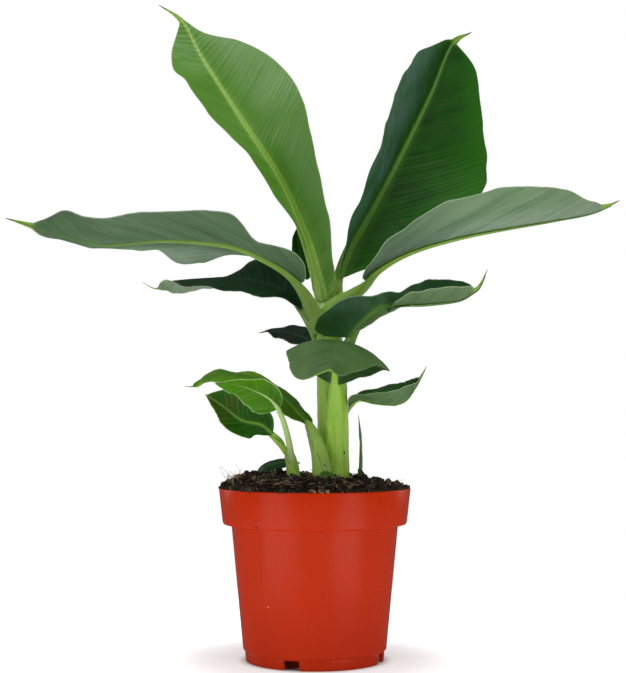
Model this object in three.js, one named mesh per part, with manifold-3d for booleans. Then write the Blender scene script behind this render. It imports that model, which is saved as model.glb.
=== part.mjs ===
// A young banana plant in a round nursery pot, in millimetres, +Z up.
// The origin is the middle of the pot's flat underside. The best side of the plant faces -Y.
// Every leaf has a petiole, one tapering limb, and a blade, a thin bent sheet on both sides of its midrib.
import * as THREE from 'three';
import { mergeVertices } from 'three/addons/utils/BufferGeometryUtils.js';
import Module from 'manifold-3d';

const wasm = await Module();
wasm.setup();

// ---- driving dimensions ----
const GAP = 0.3; // clear space between neighbouring pieces
const POT = {
  height: 107, rimRadius: 59.9, rimFootRadius: 57.6, rimFootHeight: 85, wall: 1.5,
  bodyTopRadius: 52.1, bodyFootRadius: 44.7, skirtHeight: 7, skirtRadius: 43.5,
  plateRadius: 30, channelHeight: 6, floor: 2, facets: 30,
};
const NOTCH = { count: 4, firstAngle: -109, width: 10, height: 7.4, depth: 12 };
const SOIL = { rimDrop: 2.5, heap: 8, leftHeap: 4, lump: 1.3 };
const LEAF_SHEET = 1.2; // thickness of a blade
const LEAST_HALF = 0.6; // half width of a blade at its base and of the drip tip
const RIPPLE_FULL = 8; // half width from which the margin has its full ripple
const RIB_DEPTH = 2.2; // how far the midrib stands below a blade at its base
const BLADE_STEPS = { along: 12, across: 6 };
const LIMB_STEPS = { round: 8, along: 7 };

// Stems: the centre line from below the soil to the top, and the radius at even steps along it.
const STEMS = [
  {
    name: 'pseudostem', colour: 0x8fb84a, round: 14,
    line: [[11.5, 0, 102], [11.5, 0, 135], [11, 0, 170], [9.5, 0, 200], [7.5, 0, 221]],
    radius: [10.4, 9.5, 9.4, 8.8, 6],
  },
  {
    name: 'right_sucker_stem', colour: 0x9fc45c, round: 10,
    line: [[4.5, -13, 102], [4.2, -12.8, 118], [2.5, -12.5, 130], [-1.5, -12.5, 141]],
    radius: [6.4, 5.8, 4.8, 3.4],
  },
  {
    name: 'left_sucker_stem', colour: 0x9cbf60, round: 10,
    line: [[-12, -15, 102], [-13.5, -15, 118], [-16, -15.5, 129]],
    radius: [4.4, 4, 3.4],
  },
];

// Leaves. spine: the centre line of petiole and midrib, from the stem to the drip tip.
// bladeFrom: share of the spine before the blade. tail: share of the blade that is the thin drip tip.
// widest: where along the blade it is widest. base, tip: how blunt the two ends are, smaller is blunter.
// ripple: height of the wavy margin and the number of waves.
// The other values are given at even steps along the blade, left and right as seen along it from above.
// half: greatest half widths. In degrees, roll: the turn of the whole blade about the midrib, fold: the
// rise of each half from flat, curl: how much each half curves, sweep: how far both slant to the tip.
const LEAVES = [
  {
    name: 'upright_left_leaf', colour: 0x5f9a45, petiole: [4.6, 4.2, 3.6],
    spine: [[7, 0, 210], [3, 5, 233], [-6, 14, 266], [-21, 26, 302], [-47, 40, 344], [-74, 52, 388],
      [-89, 58, 416], [-105, 60, 428]],
    bladeFrom: 0.135, tail: 0.07, halfLeft: [35], halfRight: [43], widest: 0.66, base: 0.55, tip: 0.8,
    roll: [-45, -71, -80, -82], foldLeft: [79, 73, 62, 0], foldRight: [39, 35, -10, -30],
    curlLeft: [13], curlRight: [-8], sweep: [0], ripple: [1, 6],
  },
  {
    name: 'upright_right_leaf', colour: 0x2f6b1e, petiole: [4.4, 3.9, 3.4],
    spine: [[12, 4, 217], [15, 9, 238], [22, 18, 258], [32, 26, 276], [57, 42, 318], [77, 54, 365],
      [92, 60, 400], [106, 62, 410]],
    bladeFrom: 0.16, tail: 0.06, halfLeft: [45], halfRight: [54], widest: 0.47, base: 0.77, tip: 0.76,
    roll: [55, 70, 70, 74], foldLeft: [72, 64, 55, 37], foldRight: [15, 19, -10, -18],
    curlLeft: [-8], curlRight: [4], sweep: [6], ripple: [1.2, 6],
  },
  {
    name: 'right_arching_leaf', colour: 0x7f9f7f, petiole: [5, 4.6, 4],
    spine: [[12, -4, 211], [13, -8, 222], [27, -16, 230], [39, -26, 242], [60, -38, 252], [93, -48, 260],
      [141, -52, 268], [163, -52, 272], [177, -52, 280], [182, -51, 280]],
    bladeFrom: 0.13, tail: 0.07, halfLeft: [34], halfRight: [30], widest: 0.52, base: 0.8, tip: 0.55,
    roll: [10, -6, -12], foldLeft: [50, 50, 45, 45], foldRight: [15, 30, 45, 55],
    curlLeft: [-10], curlRight: [15], sweep: [3], ripple: [1.2, 5],
  },
  {
    name: 'left_arching_leaf', colour: 0x5c7860, petiole: [4.8, 4.4, 3.8],
    spine: [[5, -2, 206], [-2, -7, 220], [-13, -14, 237], [-31, -22, 248], [-55, -30, 256], [-92, -36, 258],
      [-128, -38, 255], [-149, -36, 262], [-170, -34, 267], [-188, -34, 272]],
    bladeFrom: 0.18, tail: 0.09, halfLeft: [34], halfRight: [34], widest: 0.34, base: 1.05, tip: 0.65,
    roll: [10, 32, 34, 60], foldLeft: [-35, -15, -10, 15], foldRight: [25, 18, 30, 10],
    curlLeft: [20], curlRight: [0], sweep: [5], ripple: [1.2, 5],
  },
  {
    name: 'lower_left_leaf', colour: 0x1d3a20, petiole: [3.6, 3.3, 3],
    spine: [[5, 4, 196], [-2, 12, 209], [-10, 20, 222], [-20, 28, 232], [-34, 36, 238], [-57, 44, 242],
      [-77, 50, 242], [-99, 54, 240], [-106, 55, 236], [-115, 56, 240]],
    bladeFrom: 0.27, tail: 0.09, halfLeft: [27], halfRight: [31], widest: 0.45, base: 0.85, tip: 0.55,
    roll: [-30, 0, 15], foldLeft: [20, -28, -25, -25], foldRight: [72, 48, -5, -20],
    curlLeft: [10], curlRight: [-10], sweep: [0], ripple: [1.2, 4],
  },
  {
    name: 'twisted_right_leaf', colour: 0x3f5f38, petiole: [3.8, 3.6, 3.2],
    spine: [[18, -7, 185], [21, -15, 196], [28, -25, 208], [39, -34, 217], [52, -38, 219], [67, -41, 219],
      [86, -42, 221], [94, -42, 226], [98, -42, 231], [104, -42, 240]],
    bladeFrom: 0.15, tail: 0.1, widest: 0.2, base: 0.3, tip: 0.4,
    halfLeft: [31, 31, 11, 10, 28, 30, 27], halfRight: [9, 11, 3.5, 9, 15, 17, 16],
    roll: [150, 150, 120, -10, -25, -25, -20], foldLeft: [10, 20, 30, 60, 75, 70, 60],
    foldRight: [-80, -60, -50, 45, 30, 20, 20],
    curlLeft: [0], curlRight: [0], sweep: [-25, -22, -5, 0, 0, 0, 0], ripple: [0.6, 4],
  },
  {
    name: 'back_left_leaf', colour: 0x2c4a30, petiole: [2.8, 2.6, 2.3],
    spine: [[7, 6, 185], [2, 14, 195], [-5, 24, 201], [-16, 36, 205], [-28, 46, 207], [-38, 53, 206]],
    bladeFrom: 0.2, tail: 0.06, halfLeft: [13], halfRight: [18], widest: 0.45, base: 0.8, tip: 0.75,
    roll: [6], foldLeft: [-27, -15], foldRight: [28],
    curlLeft: [0], curlRight: [0], sweep: [0], ripple: [0.8, 3],
  },
  {
    name: 'front_leaf', colour: 0x4f6b45, petiole: [3, 2.8, 2.6],
    spine: [[12.5, -11, 158], [12.5, -15, 170], [12.5, -26, 186], [12, -42, 196], [11, -60, 196],
      [10, -74, 190], [9, -86, 180], [8.5, -91, 174]],
    bladeFrom: 0.13, tail: 0.03, halfLeft: [32], halfRight: [29], widest: 0.5, base: 0.5, tip: 0.5,
    roll: [-5, -8, -10], foldLeft: [-12], foldRight: [0],
    curlLeft: [-10], curlRight: [-10], sweep: [0], ripple: [0.6, 3],
  },
  {
    name: 'lower_right_leaf', colour: 0x5f7a58, petiole: [2.4, 2.2, 2],
    spine: [[16, 2, 150], [22, 0, 158], [28, -3, 162], [37, -7, 160], [45, -10, 159], [51, -12, 159],
      [57, -14, 162], [62, -15, 169], [65, -15, 174], [69, -15, 182]],
    bladeFrom: 0.18, tail: 0.13, halfLeft: [16], halfRight: [20], widest: 0.58, base: 0.8, tip: 0.95,
    roll: [4], foldLeft: [40, 66], foldRight: [30, 45],
    curlLeft: [0], curlRight: [-22], sweep: [0], ripple: [0.7, 3],
  },
  {
    name: 'bright_sucker_leaf', colour: 0x5a9a2c, petiole: [3.6, 3.3, 3],
    spine: [[-1, -12, 139], [-4, -10, 148], [-10, -9, 154], [-17, -9, 161], [-28, -11, 170],
      [-41, -14, 176], [-57, -17, 177], [-69, -19, 174], [-75, -20, 170], [-80, -20, 170]],
    bladeFrom: 0.1, tail: 0.06, halfLeft: [20], halfRight: [23], widest: 0.34, base: 0.5, tip: 0.5,
    roll: [8], foldLeft: [-40, -20], foldRight: [34, 18],
    curlLeft: [-8], curlRight: [-5], sweep: [8], ripple: [0.8, 4],
  },
  {
    name: 'front_sucker_leaf', colour: 0x4c8a2a, petiole: [2.4, 2.3, 2],
    spine: [[-15, -19, 129], [-16, -23, 137], [-20, -28, 151], [-26, -33, 161], [-36, -37, 167],
      [-48, -40, 171], [-61, -41, 172]],
    bladeFrom: 0.4, tail: 0.03, halfLeft: [13], halfRight: [11], widest: 0.55, base: 0.5, tip: 0.45,
    roll: [67, 45], foldLeft: [10, -40], foldRight: [14],
    curlLeft: [0], curlRight: [0], sweep: [0], ripple: [0.6, 3],
  },
  {
    name: 'round_sucker_leaf', colour: 0x2f6a1e, petiole: [2.6, 2.5, 2.1],
    spine: [[-16.5, -15.5, 129], [-20, -17, 134], [-25, -18, 139], [-33, -19, 146], [-45, -20, 149],
      [-57, -22, 158], [-67, -24, 165]],
    bladeFrom: 0.24, tail: 0.03, halfLeft: [12], halfRight: [15], widest: 0.48, base: 0.65, tip: 0.7,
    roll: [-80], foldLeft: [12], foldRight: [18],
    curlLeft: [12], curlRight: [20], sweep: [10], ripple: [0.6, 3],
  },
  {
    name: 'soil_leaf', colour: 0x24452a, petiole: null,
    spine: [[-35, 4, 117], [-30, 3, 122], [-22, 2, 124.5], [-14, 0, 124.5], [-9, -1, 123.5]],
    bladeFrom: 0, tail: 0.05, halfLeft: [5], halfRight: [6], widest: 0.45, base: 0.4, tip: 0.8,
    roll: [10], foldLeft: [15], foldRight: [-35],
    curlLeft: [0], curlRight: [0], sweep: [0], ripple: [0.2, 2],
  },
];

// A thin leafless shoot beside the stem.
const SPIKE = {
  name: 'spike_shoot', colour: 0x55703a, round: 6,
  line: [[28, 6, 104], [29, 6, 121], [29, 6, 136], [27.6, 6, 152]],
  radius: [1.4, 1.1, 0.9, 0.5],
};

// ---- shape functions ----
const UP = new THREE.Vector3(0, 0, 1);
const BACK = new THREE.Vector3(0, 1, 0);
const vector = (p) => new THREE.Vector3(...p);
const radians = THREE.MathUtils.degToRad;
const spineCurve = (points) => new THREE.CatmullRomCurve3(points.map(vector), false, 'catmullrom', 0.5);

// The value at a share t along a run of evenly spaced values, eased between them.
function along(values, t) {
  const place = THREE.MathUtils.clamp(t, 0, 1) * (values.length - 1);
  const step = Math.min(Math.floor(place), Math.max(values.length - 2, 0));
  const next = Math.min(step + 1, values.length - 1);
  return THREE.MathUtils.lerp(values[step], values[next], THREE.MathUtils.smoothstep(place - step, 0, 1));
}

// Tangent, normal and side of a curve, with the normal as near to a direction as it can be, then rolled.
function frameAt(curve, share, roll = 0, towards = UP) {
  const tangent = curve.getPointAt(Math.min(share + 0.01, 1));
  tangent.sub(curve.getPointAt(Math.max(share - 0.01, 0))).normalize();
  const normal = towards.clone().addScaledVector(tangent, -towards.dot(tangent)).normalize();
  normal.applyAxisAngle(tangent, radians(roll));
  return { centre: curve.getPointAt(share), tangent, normal, side: tangent.clone().cross(normal) };
}

// Half the width of a blade at t, as a share of its greatest: 0 at both ends, 1 where it is widest.
function outline(leaf, t) {
  const share = THREE.MathUtils.clamp(t / (1 - leaf.tail), 0, 1);
  if (share < leaf.widest) return Math.sin((Math.PI / 2) * (share / leaf.widest)) ** leaf.base;
  return Math.max(Math.cos((Math.PI / 2) * ((share - leaf.widest) / (1 - leaf.widest))), 0) ** leaf.tip;
}

// The point of a blade at t from base to tip and v from the left margin, -1, to the right, 1.
// sheet is the place through its thickness, from -0.5 under it to 0.5 on top.
function bladePoint(leaf, curve, t, v, sheet) {
  const share = leaf.bladeFrom + (1 - leaf.bladeFrom) * t;
  const { centre, tangent, normal, side } = frameAt(curve, share, along(leaf.roll, t));
  const hand = v < 0 ? -1 : 1;
  const reach = Math.abs(v);
  const width = Math.max(along(v < 0 ? leaf.halfLeft : leaf.halfRight, t) * outline(leaf, t), LEAST_HALF);
  const fold = radians(along(v < 0 ? leaf.foldLeft : leaf.foldRight, t));
  const curl = radians(along(v < 0 ? leaf.curlLeft : leaf.curlRight, t)) * reach;
  const sweep = radians(along(leaf.sweep, t));
  const chord = width * reach * (Math.abs(curl) < 1e-4 ? 1 : Math.sin(curl / 2) / (curl / 2));
  const outward = side.clone().multiplyScalar(hand * Math.cos(fold + curl / 2));
  outward.addScaledVector(normal, Math.sin(fold + curl / 2));
  outward.multiplyScalar(Math.cos(sweep)).addScaledVector(tangent, Math.sin(sweep));
  const skin = normal.clone();
  if (v !== 0) {
    skin.multiplyScalar(Math.cos(fold + curl)).addScaledVector(side, -hand * Math.sin(fold + curl));
  }
  const [height, waves] = leaf.ripple;
  const ripple = height * reach ** 2 * Math.sin(2 * Math.PI * (waves * t + (v < 0 ? 0 : 0.37)));
  const thickness = v === 0 && sheet < 0 ? 2 * THREE.MathUtils.lerp(RIB_DEPTH, LEAF_SHEET, t) : LEAF_SHEET;
  return centre.addScaledVector(outward, chord)
    .addScaledVector(skin, ripple * Math.min(1, width / RIPPLE_FULL) + thickness * sheet);
}

// A blade: a box of one layer, with its length, width and thickness laid along the leaf.
function bladeGeometry(leaf) {
  const curve = spineCurve(leaf.spine);
  const box = new THREE.BoxGeometry(1, 2, 1, BLADE_STEPS.along, BLADE_STEPS.across, 1);
  const places = box.attributes.position;
  for (let i = 0; i < places.count; i += 1) {
    const v = -Math.round(places.getY(i) * 1e6) / 1e6;
    const point = bladePoint(leaf, curve, places.getX(i) + 0.5, v === 0 ? 0 : v, places.getZ(i));
    places.setXYZ(i, point.x, point.y, point.z);
  }
  return box;
}

// A tapering limb: a cylinder with its axis laid along a curve, up to a share of its length.
// grow: how much to swell it on all sides and at both ends.
function limbGeometry({ curve, until, radius: radii, round, towards }, grow = 0) {
  const tube = new THREE.CylinderGeometry(1, 1, 1, round, LIMB_STEPS.along);
  const places = tube.attributes.position;
  for (let i = 0; i < places.count; i += 1) {
    const t = places.getY(i) + 0.5;
    const { centre, tangent, normal, side } = frameAt(curve, t * until, 0, towards);
    const radius = along(radii, t) + grow;
    centre.addScaledVector(side, places.getX(i) * radius).addScaledVector(normal, places.getZ(i) * radius);
    centre.addScaledVector(tangent, (2 * t - 1) * grow);
    places.setXYZ(i, centre.x, centre.y, centre.z);
  }
  return tube;
}

// ---- solids: joining and cutting ----
function toSolid(geometry) {
  geometry.deleteAttribute('normal');
  geometry.deleteAttribute('uv');
  const welded = mergeVertices(geometry, 1e-4);
  return new wasm.Manifold(new wasm.Mesh({
    numProp: 3,
    vertProperties: new Float32Array(welded.attributes.position.array),
    triVerts: new Uint32Array(welded.index.array),
  }));
}

function toGeometry(solid) {
  const { vertProperties, triVerts } = solid.getMesh();
  const geometry = new THREE.BufferGeometry();
  geometry.setAttribute('position', new THREE.BufferAttribute(vertProperties, 3));
  geometry.setIndex(new THREE.BufferAttribute(triVerts, 1));
  geometry.computeVertexNormals();
  return geometry;
}

const cutBy = (solid, cutters) => cutters.reduce((rest, cutter) => rest.subtract(cutter), solid);

// ---- pot and soil ----
function turned(profile) {
  const outline = profile.map(([r, z]) => new THREE.Vector2(r, z));
  return new THREE.LatheGeometry(outline, POT.facets).rotateX(Math.PI / 2);
}

// Radius of the pot's outer wall at a height between the skirt and the rim.
function bodyRadius(z) {
  const { skirtHeight, rimFootHeight, bodyFootRadius, bodyTopRadius } = POT;
  return THREE.MathUtils.mapLinear(z, skirtHeight, rimFootHeight, bodyFootRadius, bodyTopRadius);
}

// The inside of the pot, from the middle of its floor up the wall to the lip, drawn in by a clearance.
function potInside(clear) {
  const { wall, height, rimRadius, rimFootRadius, rimFootHeight, channelHeight, floor, plateRadius } = POT;
  const shelf = channelHeight + floor;
  return [
    [0, floor + clear],
    [plateRadius - 0.4 - clear, floor + clear],
    [plateRadius + 1 - clear, shelf + clear],
    [bodyRadius(shelf) - wall - clear, shelf + clear],
    [bodyRadius(rimFootHeight) - wall - clear, rimFootHeight - 1 + clear],
    [rimFootRadius - wall - clear, rimFootHeight + 2 + clear],
    [rimRadius - wall - clear, height],
  ];
}

function potGeometry() {
  const { skirtRadius, skirtHeight, rimRadius, rimFootRadius, rimFootHeight, height, plateRadius } = POT;
  const outside = [
    [0, 0],
    [plateRadius, 0],
    [plateRadius + 1.5, POT.channelHeight],
    [skirtRadius - 2.6, POT.channelHeight],
    [skirtRadius - 2.6, 0],
    [skirtRadius - 0.6, 0],
    [skirtRadius, skirtHeight],
    [bodyRadius(skirtHeight), skirtHeight + 0.6],
    [bodyRadius(rimFootHeight), rimFootHeight - 1],
    [rimFootRadius - 0.6, rimFootHeight - 0.4],
    [rimFootRadius, rimFootHeight + 1.2],
    [rimRadius, height - 0.8],
    [rimRadius - 0.6, height],
  ];
  const pot = toSolid(turned([...outside, ...potInside(0).reverse()]));
  const notches = Array.from({ length: NOTCH.count }, (_, i) => {
    const block = new THREE.BoxGeometry(NOTCH.depth, NOTCH.width, NOTCH.height);
    block.translate(skirtRadius, 0, NOTCH.height / 2 - 1);
    return toSolid(block.rotateZ(radians(NOTCH.firstAngle + i * (360 / NOTCH.count))));
  });
  return toGeometry(cutBy(pot, notches));
}

// Height of the crumbly soil at a place: a low heap, higher on the left, with small lumps.
function soilHeight(x, y) {
  const out = Math.hypot(x, y) / POT.rimRadius;
  const left = SOIL.leftHeap * Math.max(0, -x / POT.rimRadius) * (1 - out ** 8);
  const heap = SOIL.heap * (1 - out ** 5) + left;
  const lumps = Math.sin(x * 0.31 + 1) * Math.cos(y * 0.27) + 0.6 * Math.sin(x * 0.11 - y * 0.53);
  return POT.height - SOIL.rimDrop + heap + SOIL.lump * lumps * (1 - out ** 6);
}

function soilGeometry(stemHoles) {
  const under = potInside(GAP).slice(0, -1);
  const edge = POT.rimRadius - POT.wall - GAP - 0.3;
  const rings = [1, 0.86, 0.66, 0.44, 0.22, 0].map((share) => [edge * share, POT.height]);
  const body = turned([...under, ...rings]);
  const places = body.attributes.position;
  for (let i = 0; i < places.count; i += 1) {
    if (places.getZ(i) > POT.height - 1) places.setZ(i, soilHeight(places.getX(i), places.getY(i)));
  }
  return toGeometry(cutBy(toSolid(body), stemHoles));
}

// ---- the assembly ----
function node(name, geometry, colour, roughness = 0.6) {
  const material = new THREE.MeshStandardMaterial({ color: colour, roughness, metalness: 0 });
  const mesh = new THREE.Mesh(geometry, material);
  mesh.name = name;
  return mesh;
}

const limbSolid = (limb, grow = 0) => toSolid(limbGeometry(limb, grow));

const plant = new THREE.Group();
const taken = []; // grown copies of the limbs made so far, which the next ones are cut by

function addLimb(limb) {
  const solid = cutBy(limbSolid(limb), taken);
  taken.push(limbSolid(limb, GAP));
  plant.add(node(limb.name, toGeometry(solid), limb.colour));
}

const stems = [...STEMS, SPIKE].map((stem) => ({
  ...stem, curve: spineCurve(stem.line), until: 1, towards: BACK,
}));
stems.forEach(addLimb);
const stemHoles = [...taken];

for (const leaf of LEAVES) {
  if (leaf.petiole) {
    const curve = spineCurve(leaf.spine);
    const until = leaf.bladeFrom - GAP / curve.getLength();
    const name = `${leaf.name}_petiole`;
    addLimb({
      name, curve, until, radius: leaf.petiole, round: LIMB_STEPS.round, towards: UP, colour: 0x86b04e,
    });
  }
}
for (const leaf of LEAVES) {
  plant.add(node(leaf.name, toGeometry(cutBy(toSolid(bladeGeometry(leaf)), taken)), leaf.colour));
}

plant.add(node('pot', potGeometry(), 0xbf2c0c, 0.35));
plant.add(node('soil', soilGeometry(stemHoles), 0x1e1512, 1));

export default plant;
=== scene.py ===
"""A young banana plant in a round nursery pot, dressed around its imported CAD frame.

Sizes in the dataclasses are millimetres and degrees in the frame of the CAD model: the origin is the
middle of the pot's underside, +Z is up and -Y is the side with the low front leaf. Meshes are made in
metres, in place, on objects that sit at the origin.
"""

import logging
import math
from dataclasses import dataclass, field
from enum import Enum
from typing import Callable, Sequence

import bmesh
import bpy
import numpy as np
from mathutils import Euler, Matrix, Vector


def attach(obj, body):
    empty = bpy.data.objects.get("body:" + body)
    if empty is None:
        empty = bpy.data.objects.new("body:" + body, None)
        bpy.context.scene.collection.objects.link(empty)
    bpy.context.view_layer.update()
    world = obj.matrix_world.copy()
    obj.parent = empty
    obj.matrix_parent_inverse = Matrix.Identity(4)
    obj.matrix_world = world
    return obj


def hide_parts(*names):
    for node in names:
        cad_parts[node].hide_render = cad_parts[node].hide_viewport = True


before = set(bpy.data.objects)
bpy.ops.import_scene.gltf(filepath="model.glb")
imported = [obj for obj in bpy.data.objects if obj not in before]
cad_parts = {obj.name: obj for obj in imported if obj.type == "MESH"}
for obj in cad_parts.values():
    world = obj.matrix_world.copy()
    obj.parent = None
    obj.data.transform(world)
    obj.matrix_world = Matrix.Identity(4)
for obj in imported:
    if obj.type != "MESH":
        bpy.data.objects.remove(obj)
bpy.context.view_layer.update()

LOG = logging.getLogger("banana_plant")
MM = 0.001
CM = 0.1  # one millimetre in centimetres, the unit of the surface attributes
UP = (0.0, 0.0, 1.0)
BACK = (0.0, 1.0, 0.0)
BODY = "root"
Array = np.ndarray
Run = tuple[float, ...]
Colour = tuple[float, float, float, float]
Socket = bpy.types.NodeSocket


class Slot(Enum):
    """Names of material slots."""

    POT = "pot_plastic"
    COMPOST = "compost"
    STEM = "stem"
    LIGHT_LEAF = "light_leaf"
    DARK_LEAF = "dark_leaf"
    PALE_LEAF = "pale_leaf"


# ---- small sums ----
def tone(code: str) -> Colour:
    """Turns a six-letter screen colour into the linear colour that shaders use.

    Args:
        code: Red, green and blue as two hexadecimal digits each.

    Returns:
        The linear colour with full opacity.
    """
    parts = [int(code[i : i + 2], 16) / 255 for i in (0, 2, 4)]
    red, green, blue = [p / 12.92 if p <= 0.04045 else ((p + 0.055) / 1.055) ** 2.4 for p in parts]
    return red, green, blue, 1.0


def ease(value: Array, low: float, high: float) -> Array:
    """Rises smoothly from 0 at low to 1 at high.

    Args:
        value: The values to grade.
        low: Where the rise starts.
        high: Where it ends.

    Returns:
        The grades, from 0 to 1.
    """
    share = np.clip((value - low) / (high - low), 0, 1)
    return share * share * (3 - 2 * share)


def along(values: Sequence[float], t: Array) -> Array:
    """Reads a run of evenly spaced values at shares of its length, eased between them.

    Args:
        values: The run, one value or more.
        t: Shares of the run, from 0 to 1.

    Returns:
        The values there.
    """
    run = np.asarray(values, float)
    place = np.clip(t, 0, 1) * (len(run) - 1)
    step = np.clip(place.astype(int), 0, max(len(run) - 2, 0))
    mix = ease(place - step, 0, 1)
    return run[step] * (1 - mix) + run[np.minimum(step + 1, len(run) - 1)] * mix


def waver(place: Array, seed: int, octaves: int = 3) -> Array:
    """Makes a smooth random wave from -1 to 1 along a line.

    Args:
        place: Where to read it; its features are about one unit long.
        seed: Picks the wave.
        octaves: How many finer waves are added.

    Returns:
        The height of the wave at each place.
    """
    draw = np.random.default_rng(seed)
    total = np.zeros_like(place, dtype=float)
    weight = 0.0
    for octave in range(octaves):
        for _ in range(3):
            share = 0.6**octave
            pitch = 2**octave * draw.uniform(0.6, 1.4)
            total += share * np.sin(2 * np.pi * (place * pitch * 0.5 + draw.uniform()))
            weight += share
    return total / (0.6 * weight)


def across_vectors(weights: Array, vectors: Array) -> Array:
    """Scales each row of a list of vectors by its own weight."""
    return weights[:, None] * vectors


class Spine:
    """A smooth curve through a few points, read by shares of its length."""

    def __init__(self, points: Sequence[Sequence[float]], steps: int = 600) -> None:
        """Samples the curve densely.

        Args:
            points: The points it passes through, in millimetres.
            steps: Number of samples.
        """
        knots = np.asarray(points, float)
        spans = len(knots) - 1
        knots = np.vstack([2 * knots[0] - knots[1], knots, 2 * knots[-1] - knots[-2]])
        place = np.linspace(0, spans, steps + 1)
        span = np.minimum(place.astype(int), spans - 1)
        f = (place - span)[:, None]
        before, start, end, after = (knots[span + i] for i in range(4))
        leave, arrive = (end - before) / 2, (after - start) / 2
        self.samples = (
            (2 * f**3 - 3 * f**2 + 1) * start
            + (f**3 - 2 * f**2 + f) * leave
            + (-2 * f**3 + 3 * f**2) * end
            + (f**3 - f**2) * arrive
        )
        gaps = np.linalg.norm(np.diff(self.samples, axis=0), axis=1)
        self.lengths = np.concatenate([[0.0], np.cumsum(gaps)])

    @property
    def length(self) -> float:
        """The length of the curve in millimetres."""
        return float(self.lengths[-1])

    def at(self, share: Array) -> Array:
        """Points at shares of the length.

        Args:
            share: Shares, from 0 to 1.

        Returns:
            One point for each share.
        """
        reach = np.clip(share, 0, 1) * self.length
        return np.stack([np.interp(reach, self.lengths, self.samples[:, k]) for k in range(3)], axis=-1)

    def frames(
        self, share: Array, roll: Array | float = 0.0, towards: Sequence[float] = UP
    ) -> tuple[Array, Array, Array, Array]:
        """Centre, tangent, normal and side at shares of the length.

        Args:
            share: Shares, from 0 to 1.
            roll: Turn about the tangent in degrees.
            towards: The direction that the unrolled normal is nearest to.

        Returns:
            Four lists of vectors.
        """
        tangent = self.at(np.minimum(share + 0.01, 1)) - self.at(np.maximum(share - 0.01, 0))
        tangent /= np.linalg.norm(tangent, axis=1, keepdims=True)
        aim = np.asarray(towards, float)
        normal = aim - across_vectors(tangent @ aim, tangent)
        normal /= np.linalg.norm(normal, axis=1, keepdims=True)
        turn = np.radians(np.broadcast_to(roll, share.shape))
        crossed = np.cross(tangent, normal)
        normal = across_vectors(np.cos(turn), normal) + across_vectors(np.sin(turn), crossed)
        return self.at(share), tangent, normal, np.cross(tangent, normal)


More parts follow.
